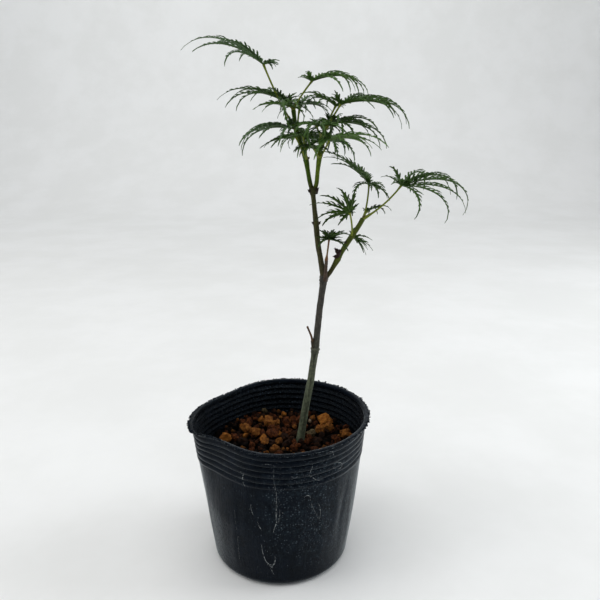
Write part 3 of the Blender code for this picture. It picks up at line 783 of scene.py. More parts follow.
# ---- pot
@dataclass
class NurseryPot:
    """Thin round pot with ribs under its lip and a rim pinched to a soft corner."""

    height: float = 88.5
    film: float = 0.8
    lip_radius: float = 52.4
    lip_thick: float = 1.1
    top_radius: float = 50.4
    foot_radius: float = 40
    bulge: float = 0.8
    foot_round: float = 5
    ribs: int = 6
    rib_pitch: float = 3.5
    rib_relief: float = 0.9
    rib_rows: int = 8
    steps: int = 288
    drain_holes: int = 6
    drain_radius: float = 4
    drain_circle: float = 22
    warp_from: float = 40
    corner_at: float = 198
    corner_out: float = 4.2
    corner_width: float = 19
    corner_drop: float = 2.5
    drop_width: float = 12
    flats: tuple[Span, ...] = ((139, 6.5), (222, 6.8))
    flat_width: float = 30
    rim_tilt: float = 0.02
    # angle and width in degrees, depth and the height of the middle in millimetres
    creases: tuple[Station, ...] = (
        (236, 3, 0.3, 30), (247, 2.2, 0.22, 48), (262, 1.8, 0.25, 52), (286, 3, 0.2, 40),
        (301, 2.4, 0.3, 34), (312, 3.2, 0.35, 50), (322, 2.6, -0.35, 42), (333, 3, 0.3, 30),
        (20, 3, 0.3, 44), (48, 2.4, 0.25, 36), (75, 3.2, 0.3, 50), (112, 2.8, 0.3, 32),
        (150, 3, 0.25, 46), (176, 2.6, 0.3, 38), (204, 3, 0.3, 26))
    crease_reach: float = 22
    rib_waver: float = 0.35
    torn: float = 0.5
    twist_drop: float = 1.7
    twist_at: float = 213
    twist_width: float = 17
    # The inside film is a darker copy of the outer one: partly a cleaner film, partly painted shade within
    # the pot. Its bluish specks, crowded high on the back left, are painted glints.
    inside: FilmFinish = FilmFinish("inner", (0.0002, 0.0006, 0.0016, 1), (0.0012, 0.0024, 0.0048, 1),
                                    (0.006, 0.01, 0.016, 1), (0.006, 0.01, 0.015, 1),
                                    (0.06, 0.085, 0.12, 1), (-20, 42, 80),
                                    shine=(0.06, 0.34), ripple=2.6, specular=0.13, fuzz=0)

    @property
    def rib_foot(self) -> float:
        """Height of the lowest rib's foot."""
        return self.height - 1.6 - self.ribs * self.rib_pitch

    def wall(self, z: float) -> float:
        """Give the outer radius of the plain wall at a height."""
        share = z / self.height
        swell = self.bulge * sin(pi * share)
        return self.foot_radius + (self.top_radius - self.foot_radius) * share + swell

    def rib(self, z: float) -> float:
        """Give how far the film stands out in a rib, or in in the groove beside it."""
        turn = (z - self.rib_foot) / self.rib_pitch
        if not 0 < turn < self.ribs:
            return 0
        return self.rib_relief * (abs(sin(pi * turn)) ** 0.7 - 0.5)

    def warped(self, point: Vector) -> Vector:
        """Move a point of the round pot to where the soft wall really is."""
        share = max(0, (point.z - self.warp_from) / (self.height - self.warp_from))
        angle = bearing(point)
        radius = hypot(point.x, point.y)
        reach = radius / self.top_radius
        corner = hump_round(angle, self.corner_at, self.corner_width)
        flat = sum(depth * hump_round(angle, at, self.flat_width) for at, depth in self.flats)
        fresh = radius + (self.corner_out * corner - flat) * share * reach
        drop = self.corner_drop * hump_round(angle, self.corner_at, self.drop_width) * reach
        return spoke(radians(angle), fresh, point.z - (drop - self.rim_tilt * point.x) * share)

    def slack(self, point: Vector) -> float:
        """Give how far the slack film stands out at a point, in soft waves and creases."""
        angle = bearing(point)
        rise = eased(4, 16, point.z)
        place = spoke(radians(angle), 2.6, point.z * 0.012)
        wave = 0.3 * noise.noise(place) + 0.14 * noise.noise(place * 2.7)
        for at, width, depth, middle in self.creases:
            bend = at + 2 * sin(point.z * 0.09 + at)
            wave += depth * hump_round(angle, bend, width) * hump(point.z - middle, self.crease_reach)
        return wave * rise * (1 - 0.6 * eased(self.rib_foot - 2, self.rib_foot + 4, point.z))

    def ragged(self, point: Vector) -> Vector:
        """Give the torn raggedness of the lip's outer edge at a point."""
        radius = hypot(point.x, point.y)
        worn = eased(self.lip_radius - 1.3, self.lip_radius, radius)
        tatter = noise.noise(point * 0.8) + 0.8 * noise.noise(point * 1.9) + 0.5 * noise.noise(point * 3.7)
        lifted = noise.noise(point * 1.2 + UP * 40) + 0.6 * noise.noise(point * 2.9)
        return (outward(point) * tatter + UP * lifted) * self.torn * worn

    def twist(self, point: Vector) -> Vector:
        """Give how far the lip's inner edge sinks beside the pinched corner."""
        angle = bearing(point)
        inward = 1 - eased(self.top_radius - 1, self.lip_radius, hypot(point.x, point.y))
        high = eased(self.height - 14, self.height - 1, point.z)
        return -UP * self.twist_drop * hump_round(angle, self.twist_at, self.twist_width) * inward * high

    def waver(self, point: Vector) -> Vector:
        """Give how far a soft rib strays up or down at a point."""
        high = eased(self.rib_foot - 3, self.rib_foot + 3, point.z)
        high *= 1 - eased(self.height - 4, self.height - 2, point.z)
        place = spoke(atan2(point.y, point.x), 3.2, point.z * 0.21)
        return UP * self.rib_waver * high * (noise.noise(place) + 0.5 * noise.noise(place * 3.1))

    def profile(self) -> list[Span]:
        """List the section from the inside floor, over the lip, to the underside."""
        rows, low, curve, film = self.ribs * self.rib_rows, self.rib_foot, self.foot_round, self.film
        top, mouth, lip_out = self.height, self.top_radius, self.lip_radius
        heights = [low + self.ribs * self.rib_pitch * i / rows for i in range(rows + 1)]
        plain = [curve + (low - 0.8 - curve) * i / 24 for i in range(25)]
        arc = [radians(90 * i / 6) for i in range(7)]
        inner = curve - film
        inside = [(r, film) for r in (0, 8, 16, 24, 30)]
        inside += [(self.wall(curve) - curve + inner * sin(a),
                    curve - inner * cos(a)) for a in arc]
        inside += [(self.wall(z) - film, z) for z in plain[1:]]
        inside += [(self.wall(z) - film + self.rib(z), z) for z in heights]
        lip = [(mouth - film, top - 0.9), (mouth - 0.65, top - 0.3),
               (mouth - 0.1, top), (lip_out - 0.7, top),
               (lip_out - 0.2, top - 0.2), (lip_out, top - 0.55),
               (lip_out - 0.2, top - 0.9), (lip_out - 0.8, top - self.lip_thick),
               (mouth + 0.3, top - self.lip_thick)]
        outside = [(self.wall(z) + self.rib(z), z) for z in reversed(heights)]
        outside += [(self.wall(z), z) for z in reversed(plain[1:])]
        outside += [(self.wall(curve) - curve * (1 - cos(a)),
                     curve * (1 - sin(a))) for a in arc]
        underside = [(33.5, 0), (32.5, 0.5), (24, 0.55), (16, 0.55), (8, 0.55), (0, 0.55)]
        return inside + lip + outside + underside

    def build(self) -> Piece:
        """Spin the pot, let it sag into shape and cut its drain holes.

        Returns:
            The dressed pot.
        """
        pot = spun("nursery_pot", self.profile(), self.steps)
        reshape(pot, self._settled)
        apply_modifier(pot, "BOOLEAN", {"operation": "DIFFERENCE", "solver": "EXACT",
                                        "object": self._cutter()})
        bpy.data.objects.remove(bpy.data.objects["drain_cutter"], do_unlink=True)
        smooth_shaded(pot, 50)
        dress(pot, FilmFinish().material(), self.inside.material())
        for face in pot.data.polygons:
            centre = face.center / MM
            inwards = face.normal.x * centre.x + face.normal.y * centre.y < 0
            face.material_index = int(inwards and self.foot_round < centre.z < self.height - 1.2)
        return pot

    def _settled(self, point: Vector) -> Vector:
        """Move a point of the plain round pot to its place on the real one."""
        strayed = self.ragged(point) + self.twist(point) + self.waver(point)
        return self.warped(point + outward(point) * self.slack(point) + strayed)

    def _cutter(self) -> Piece:
        """Make the rods that cut the drain holes, joined in one object."""
        start_piece()
        rods = []
        for i in range(self.drain_holes):
            spot = spoke(tau * i / self.drain_holes, self.drain_circle * MM)
            bpy.ops.mesh.primitive_cylinder_add(vertices=32, radius=self.drain_radius * MM,
                                                depth=6 * self.film * MM, location=spot)
            rods.append(bpy.context.object)
        for rod in rods:
            rod.select_set(True)
        bpy.ops.object.join()
        bpy.ops.object.transform_apply(location=True, rotation=True, scale=True)
        bpy.context.object.name = "drain_cutter"
        return bpy.context.object

    def on_wall(self, angle: float, z: float, proud: float) -> Vector:
        """Give a point on the outside of the wall.

        Args:
            angle: its angle in degrees.
            z: its height before the wall sags.
            proud: how far it stands off the film.

        Returns:
            The point in millimetres.
        """
        out = spoke(radians(angle))
        flat = out * (self.wall(z) + self.rib(z)) + UP * z
        return self.warped(flat + out * (self.slack(flat) + proud))


@dataclass
class PotMarks:
    """Lime scratches and curls on the film, one thin line of painted highlight along a crease, and torn burrs
    along the lip.
    """

    pot: NurseryPot
    proud: float = 0.05
    thickness: float = 0.06
    # each stroke is its width and a line of angle and height that it follows
    strokes: tuple[tuple[float, tuple[Span, ...]], ...] = (
        (0.1, ((268, 82), (267.8, 73), (269.3, 63), (268.8, 53), (268.8, 46))),
        (0.18, ((269.6, 57), (268.9, 51), (269, 46), (267.4, 41.5), (266.4, 38))),
        (0.09, ((271.4, 55), (271, 50), (270.2, 45))),
        (0.08, ((261, 82), (264.5, 82.3), (268, 82))),
        (0.19, ((258, 30), (258.4, 25), (260.3, 19), (263, 16.5), (265.6, 16))),
        (0.17, ((265, 15.6), (266.9, 17.2), (267.5, 20), (267.4, 23))),
        (0.15, ((262, 17.6), (264.5, 14.6), (266, 16.4), (266.9, 19.2))),
        (0.09, ((263.8, 14), (265, 11.4), (266.4, 9))),
        (0.16, ((251.5, 54.5), (252.2, 51.8), (253.2, 49.2))),
        (0.19, ((256, 45.2), (257.2, 42.4), (258.8, 39.8))),
        (0.18, ((245.2, 74.6), (246.9, 71.6), (246.2, 70), (248.2, 65.8))),
        (0.15, ((248, 74.2), (246.6, 71), (247.6, 68.4))),
        # this long thin line is a painted highlight: the reflection along a crease in the film, laid as a
        # lime stroke
        (0.035, ((238.4, 51), (239.2, 36), (238, 15))),
        (0.15, ((306.5, 75.7), (309.4, 76.4), (313.1, 75.2), (315, 72.6), (311.9, 72), (307.9, 73.6),
                (306.5, 75.7))),
        (0.14, ((300.9, 84.6), (303, 85.2), (305.4, 84.2), (305.8, 82.4), (302.7, 82.5))),
        (0.15, ((287.9, 73), (290.2, 73.9), (292.9, 71.5), (296.1, 69.3), (299, 69.2))),
        (0.11, ((291.8, 81), (291, 77), (289.2, 73.6))),
        (0.15, ((286.9, 60.7), (288.9, 61.5), (291, 60.4), (291.3, 58))),
        (0.1, ((292, 56), (293.6, 52.4), (296.2, 48), (298.6, 43.4))),
        (0.09, ((296, 56.4), (298.6, 52), (299.4, 47), (298.8, 43.6))),
        (0.1, ((278.3, 75.3), (280.2, 73.9), (282.6, 74.6))),
        (0.12, ((80, 60), (81, 52), (80.4, 44), (82, 37))),
        (0.14, ((140, 40), (141.5, 34), (144, 30), (147, 29))),
        (0.12, ((30, 58), (31, 50), (30.4, 42))),
    )
    worn_below: float = -0.24
    crumb_chance: float = 0.12
    crumb_reach: float = 0.8
    # middle angle, its spread, middle height and its spread of each field of dust
    dust_fields: tuple[Station, ...] = (
        (294, 9, 40, 12), (290, 13, 50, 16), (300, 9, 77, 5),
        (291, 9, 72, 6), (269.5, 2.2, 62, 13), (180, 120, 44, 24))
    flecks: int = 1000
    fleck_size: Span = (0.05, 0.24)
    fleck_sides: int = 5
    burrs: int = 1350
    burr_size: Span = (0.22, 0.8)
    # share of the burrs that crowd together, their middle angle and its spread
    burr_crowd: float = 0.55
    crowd_at: Span = (150, 48)
    burr_seed: int = 31
    fleck_seed: int = 17

    def build(self) -> tuple[Piece, Piece, Piece]:
        """Make the marks.

        Returns:
            The strokes of lime with the painted crease highlight among them, the dust and the burrs.
        """
        rng = Random(self.fleck_seed)
        lime, dust = Skin(), Skin()
        for width, line in self.strokes:
            self._stroke(lime, width, curved(line, 8), rng)
        for _ in range(self.flecks):
            at, spread, middle, reach = rng.choice(self.dust_fields)
            angle, z = rng.gauss(at, spread), rng.gauss(middle, reach)
            if 4 < z < 86:
                self._fleck(dust, self.pot.on_wall(angle, z, self.proud), rng)
        marks = [lime.build("lime_and_highlight_marks"), dust.build("lime_dust")]
        for mark in marks:
            apply_modifier(mark, "SOLIDIFY", {"thickness": self.thickness * MM, "offset": 0})
            smooth_shaded(mark, 60)
        return marks[0], marks[1], self._burrs()

    def _stroke(self, skin: Skin, width: float, line: Sequence[Vector], rng: Random) -> None:
        """Lay one stroke, thin at its ends, broken where the lime wore off and crumbling beside it.

        Args:
            skin: the mesh in the making.
            width: its widest half width.
            line: angles and heights along it.
            rng: the chance that strews its crumbs.
        """
        points = [self.pot.on_wall(a, z, self.proud) for a, z in line]
        last = len(points) - 1
        rows = []
        for i, ((along, _, _), point) in enumerate(zip(carried(points), points)):
            side = along.cross(outward(point)).normalized()
            worn = noise.noise(point * 1.4) + 0.5 * noise.noise(point * 3.3)
            half = max(width * (0.25 + sin(pi * i / last)) * (0.7 + worn), 0.03)
            rows.append((skin.put(point - side * half), skin.put(point + side * half), worn))
            if rng.random() < self.crumb_chance:
                off = side * rng.gauss(0, self.crumb_reach) + along * rng.gauss(0, self.crumb_reach)
                self._fleck(skin, point + off, rng)
        for (a, b, worn), (c, d, _) in pairwise(rows):
            if worn > self.worn_below:
                skin.faces.append((a, b, d, c))

    def _fleck(self, skin: Skin, centre: Vector, rng: Random) -> None:
        """Lay one small speck of lime.

        Args:
            skin: the mesh in the making.
            centre: its place on the film.
            rng: the chance that shapes it.
        """
        side = UP.cross(outward(centre))
        size = rng.uniform(*self.fleck_size)
        tall = rng.uniform(0.8, 2.4)
        ring = []
        for i in range(self.fleck_sides):
            turn = tau * i / self.fleck_sides
            reach = size * rng.uniform(0.7, 1.2)
            ring.append(skin.put(centre + side * reach * cos(turn) + UP * reach * tall * sin(turn)))
        skin.faces.append(tuple(ring))

    def _burrs(self) -> Piece:
        """Set torn nubs along the lip, most of them at the pinched corner."""
        rng = Random(self.burr_seed)
        start_piece()
        bpy.ops.mesh.primitive_ico_sphere_add(subdivisions=1, radius=MM)
        nub = taken(bpy.context.object)
        skin = Skin()
        pot = self.pot
        for i in range(self.burrs):
            crowded = rng.random() < self.burr_crowd
            angle = rng.gauss(*self.crowd_at) if crowded else rng.uniform(0, 360)
            out = spoke(radians(angle))
            size = rng.uniform(*self.burr_size)
            seat = out * (pot.lip_radius + 0.3 - abs(rng.gauss(0, 0.55))) + UP * (pot.height - 0.45)
            seat += pot.ragged(seat) + pot.twist(seat) + UP * rng.uniform(-0.3, 0.35)
            place = Matrix.Translation(pot.warped(seat))
            place @= Matrix.Rotation(rng.uniform(0, tau), 4, out)
            place @= Matrix.Diagonal((size, size * rng.uniform(0.4, 0.8), size * rng.uniform(0.3, 0.7), 1))
            skin.shape(nub, place)
        return skin.build("lip_burrs")


# ---- potting mix
@dataclass
class PottingMix:
    """A bed of fines under a heap of baked clay granules."""

    pot: NurseryPot
    trunk_foot: Spot = (12, 3, 68)
    trunk_clear: float = 2.3
    bed_top: float = 64.4
    heap_top: float = 70.6
    sunk: float = 4.6
    sunk_at: float = 182
    sunk_width: float = 42
    sunk_between: Span = (32, 42)
    wall_gap: float = 0.35
    granules: int = 1150
    # share, least and largest radius of each grade
    grades: tuple[tuple[float, float, float], ...] = ((0.56, 0.8, 1.7), (0.34, 1.7, 2.5), (0.1, 2.6, 3.4))
    closeness: float = 0.9
    tries: int = 8
    shapes: int = 10
    kept_faces: float = 0.3
    facets: int = 8
    crumbs: int = 7
    seed: int = 5
    # x, y and radius of granules that stand out, with their kind
    landmarks: tuple[tuple[float, float, float, Grain], ...] = (
        (-33, 3, 3.2, AMBER), (28, 26, 4.2, AMBER), (1, -33, 2.5, AMBER),
        (39.5, 7, 3.3, OCHRE), (-7.5, 23, 3.4, OCHRE), (-21.5, 14, 3.7, OCHRE),
        (-15, 9.5, 2.8, OCHRE), (18.6, 7, 2.4, STONE), (24, 13.5, 3.2, OCHRE),
        (3, 24, 3, RUST), (30, 16, 3, OCHRE), (-13, -30, 2.7, OCHRE),
        (-7.5, -32.5, 1.7, STONE), (-10.5, 2, 2.5, AMBER), (-9, -2, 2.2, OCHRE),
        (-4.5, 8, 3.1, RUST), (8.5, -2.5, 1.9, RUST), (12.5, -3.4, 2.1, UMBER),
        (16.3, -0.9, 1.8, RUST), (6.9, 1.4, 1.9, UMBER), (17.2, 3.6, 1.9, RUST),
        (14.5, 8, 2, RUST), (9, 7.6, 2, UMBER), (10.4, -6.6, 2.2, RUST),
        (12, 26, 2.9, RUST), (-20, 22, 2.6, RUST), (34, -2, 2.4, RUST))
    shares: tuple[tuple[Grain, float], ...] = (
        (RUST, 0.42), (UMBER, 0.37), (OCHRE, 0.14), (AMBER, 0.05),
        (STONE, 0.02))

    def build(self) -> tuple[Piece, dict[Grain, Piece]]:
        """Make the bed and drop the granules on it.

        Returns:
            The bed, and one piece for each kind of granule.
        """
        return self._bed(), self._granules()

    def _bed(self) -> Piece:
        """Spin the plug of fines and roughen its top."""
        pot = self.pot
        edge = [(pot.wall(z) - pot.film - 0.6, z) for z in (self.bed_top, 50, 40, 20, 7)]
        rings = [(edge[0][0] * i / 20, self.bed_top) for i in range(20)]
        floor = pot.film + 0.35
        bed = spun("fines_bed", rings + edge + [(33, floor), (16, floor), (0, floor)], 96)

        def roughened(point: Vector) -> Vector:
            """Warp a point with the pot, and lift it in lumps on the top."""
            lumps = noise.noise(point * 0.35) + 0.6 * noise.noise(point * 0.9)
            top = eased(self.bed_top - 1, self.bed_top, point.z)
            return pot.warped(point + UP * lumps * 1.2 * top)

        reshape(bed, roughened)
        smooth_shaded(bed, 60)
        return bed

    def _shape(self, index: int) -> Shape:
        """Model one broken granule of radius 1.

        Args:
            index: which of the shapes it is.

        Returns:
            Its vertices and its faces.
        """
        start_piece()
        bpy.ops.mesh.primitive_ico_sphere_add(subdivisions=3, radius=MM)
        lump = bpy.context.object
        rng = Random(100 + index)
        stretch = Vector(rng.uniform(0.78, 1.22) for _ in range(3))
        cuts = [(strewn(rng), rng.uniform(0.58, 0.86)) for _ in range(self.facets)]
        crumbs = [strewn(rng) * rng.uniform(0.34, 0.56) for _ in range(self.crumbs)]

        def knapped(point: Vector) -> Vector:
            """Push a point out over the crumbs that cling together, and cut it back to facets."""
            ray = point.normalized()
            out = ray * max(ray.dot(c) + sqrt(max(ray.dot(c) ** 2 - c.dot(c) + 0.36, 0.04))
                            for c in crumbs)
            for facet, depth in cuts:
                over = out.dot(facet) - depth
                if over > 0:
                    out = out - facet * over * 0.94
            out *= 1.18 + 0.2 * noise.noise(ray * 2.3 + UP * 9 * index) + 0.16 * noise.noise(ray * 5.2)
            return Vector(o * s for o, s in zip(out, stretch))

        reshape(lump, knapped)
        apply_modifier(lump, "DECIMATE", {"ratio": self.kept_faces})
        return taken(lump)

    def _inside(self, spot: Vector, size: float) -> bool:
        """Say whether a granule clears the warped wall and the trunk."""
        foot = Vector(self.trunk_foot[:2])
        if (spot.xy - foot).length < self.trunk_clear + 0.6 * size:
            return False
        pot = self.pot
        reach = pot.wall(self.bed_top) - pot.film - self.wall_gap - size
        edge = pot.warped(spoke(atan2(spot.y, spot.x), reach, self.bed_top))
        return spot.xy.length < edge.xy.length

    def _rest(self, x: float, y: float, size: float, placed: Sequence[tuple[Vector, float]]) -> float:
        """Find the height at which a dropped granule comes to rest.

        Args:
            x: where it is dropped.
            y: where it is dropped.
            size: its radius.
            placed: centres and radii of those that lie there.

        Returns:
            The height of its centre.
        """
        rest = self.bed_top + 0.35 * size
        for centre, other in placed:
            apart = self.closeness * (size + other)
            flat = hypot(centre.x - x, centre.y - y)
            if flat < apart:
                rest = max(rest, centre.z + sqrt(apart * apart - flat * flat))
        return rest

    def _brim(self, spot: Vector) -> float:
        """Give how high the heap may rise at a place, lower where it has sunk beside the wall."""
        near_wall = eased(*self.sunk_between, spot.xy.length)
        beside = hump_round(bearing(spot), self.sunk_at, self.sunk_width)
        return self.heap_top - self.sunk * beside * near_wall

    def _size(self, rng: Random) -> float:
        """Draw the radius of a granule from its grades."""
        _, low, high = rng.choices(self.grades, [grade[0] for grade in self.grades])[0]
        return rng.uniform(low, high)

    def _granules(self) -> dict[Grain, Piece]:
        """Drop the granules one by one, each where the heap is lowest of a few tries."""
        rng = Random(self.seed)
        shapes = [self._shape(i) for i in range(self.shapes)]
        skins = {grain: Skin() for grain in Grain}
        placed: list[tuple[Vector, float]] = []
        kinds = [grain for grain, _ in self.shares]
        weights = [share for _, share in self.shares]
        rim = self.pot.wall(self.bed_top)
        for _ in range(self.granules):
            size = self._size(rng)
            best = None
            for _ in range(self.tries):
                reach, turn = rim * sqrt(rng.random()), rng.uniform(0, tau)
                spot = spoke(turn, reach)
                if self._inside(spot, size):
                    spot.z = self._rest(spot.x, spot.y, size, placed)
                    best = spot if best is None or spot.z < best.z else best
            if best is None or best.z + 0.7 * size > self._brim(best):
                continue
            placed.append((best, size))
            self._lay(skins[rng.choices(kinds, weights)[0]], rng.choice(shapes), best, size, rng)
        for x, y, size, grain in self.landmarks:
            height = self._rest(x, y, 0.8 * size, placed)
            top = Vector((x, y, min(height, self.heap_top)))
            placed.append((top, size))
            self._lay(skins[grain], rng.choice(shapes), top, size, rng)
        LOG.info("potting mix: %d granules", len(placed))
        return {grain: skin.build("granules_" + grain.value) for grain, skin in skins.items()}

    @staticmethod
    def _lay(skin: Skin, shape: Shape, spot: Vector, size: float,
             rng: Random) -> None:
        """Lay one granule.

        Args:
            skin: the mesh in the making.
            shape: its vertices and faces at radius 1.
            spot: its centre.
            size: its radius.
            rng: the chance that turns it.
        """
        axis = strewn(rng)
        place = Matrix.Translation(spot) @ Matrix.Rotation(rng.uniform(0, tau), 4, axis)
        skin.shape(shape, place @ Matrix.Scale(size, 4))


# ---- wood
class Collar(NamedTuple):
    """A scar that rings a stem: its height, how far it stands out and its half width."""

    at: float
    out: float
    width: float


class Bud(NamedTuple):
    """A pointed bud: its foot, its direction, its length and its foot radius."""

    foot: Spot
    direction: Spot
    length: float
    radius: float


@dataclass
class Limb:
    """One tapering stem with the relief of its skin."""

    name: str
    stations: tuple[Station, ...]
    slot: Slot
    finish: BarkFinish
    collars: tuple[Collar, ...] = ()
    ridge: float = 0.075
    lump: float = 0.1
    flare: float = 0
    sides: int = 30
    ring: float = 0.45
    tip_round: float = 0.9
    node: str = ""

    def build(self) -> Piece:
        """Roll a grid into the stem, raise its relief and close it.

        Returns:
            The dressed stem.
        """
        path = evenly(curved(self.stations, 12), self.ring)
        start_piece()
        bpy.ops.mesh.primitive_grid_add(x_subdivisions=self.sides, y_subdivisions=len(path) - 1, size=MM)
        stem = bpy.context.object
        stem.name = self.name + "_skin"
        straight = stem.data.attributes.new(STRAIGHT, "FLOAT_VECTOR", "POINT")
        places, unrolled = [], []
        for row, (point, (_, across, up)) in enumerate(zip(path, carried(path))):
            walked = row * self.ring
            left = (len(path) - 1 - row) * self.ring
            blunt = sqrt(max(1 - (1 - min(left / self.tip_round, 1)) ** 2, 0.01))
            for side in range(self.sides + 1):
                turn = tau * (side % self.sides) / self.sides
                radius = (point[3] + self._relief(turn, walked, point)) * blunt
                places.extend((point.xyz + radius * turned(across, up, turn)) * MM)
                unrolled.extend(spoke(turn, radius, walked))
        stem.data.vertices.foreach_set("co", places)
        straight.data.foreach_set("vector", unrolled)
        begin_edit()
        bpy.ops.mesh.remove_doubles(threshold=WELD)
        bpy.ops.mesh.select_all(action="SELECT")
        bpy.ops.mesh.fill_holes(sides=0)
        close_seams()
        present(stem, 70, self.slot, (self.node or self.name,), self.finish.material())
        return stem

    def _relief(self, turn: float, walked: float, point: Vector) -> float:
        """Give how far the skin stands out at a place on the stem.

        Args:
            turn: the angle round the stem.
            walked: the distance along it.
            point: the station there.

        Returns:
            The height of the relief in millimetres.
        """
        shift = 13.7 * (len(self.name) + 5)
        ring = spoke(turn)
        out = self.ridge * noise.noise(ring * 3.4 + UP * (walked * 0.075 + shift))
        out += self.lump * noise.noise(ring * 0.9 + UP * (walked * 0.24 + shift))
        for collar in self.collars:
            out += collar.out * hump(point.z - collar.at, collar.width)
            out -= 0.5 * collar.out * hump(point.z - collar.at - 2.2 * collar.width, collar.width)
        if self.flare:
            butts = 1 + 0.45 * cos(4 * turn + 0.7) + 0.25 * cos(7 * turn)
            out += self.flare * butts * exp(-max(point.z - self.stations[0][2], 0) / 1.7)
        return out


@dataclass
class BudSet:
    """Buds of one colour, joined in one piece."""

    name: str
    buds: tuple[Bud, ...]
    slot: Slot
    nodes: tuple[str, ...]
    finish: StalkFinish
    rows: int = 11
    sides: int = 12

    def build(self) -> Piece:
        """Shape each bud from its foot to its point, in overlapping scales.

        Returns:
            The dressed buds.
        """
        skin = Skin()
        for bud in self.buds:
            direction = Vector(bud.direction).normalized()
            foot = Vector(bud.foot) - direction * 0.5 * bud.radius
            path, radii = [], []
            for i in range(self.rows):
                share = i / (self.rows - 1)
                swell = (0.72 + 0.55 * sin(pi * min(share * 1.25, 1))) * (1 - share ** 2.4)
                scale = 1 + 0.1 * abs(sin(3 * pi * share))
                curl = direction.orthogonal().normalized() * 0.1 * bud.length * share * share
                path.append(foot + direction * bud.length * share + curl)
                radii.append(max(bud.radius * swell * scale, 0.06))
            skin.tube(path, radii, self.sides)
        piece = skin.build(self.name)
        present(piece, 60, self.slot, self.nodes, self.finish.material())
        return piece


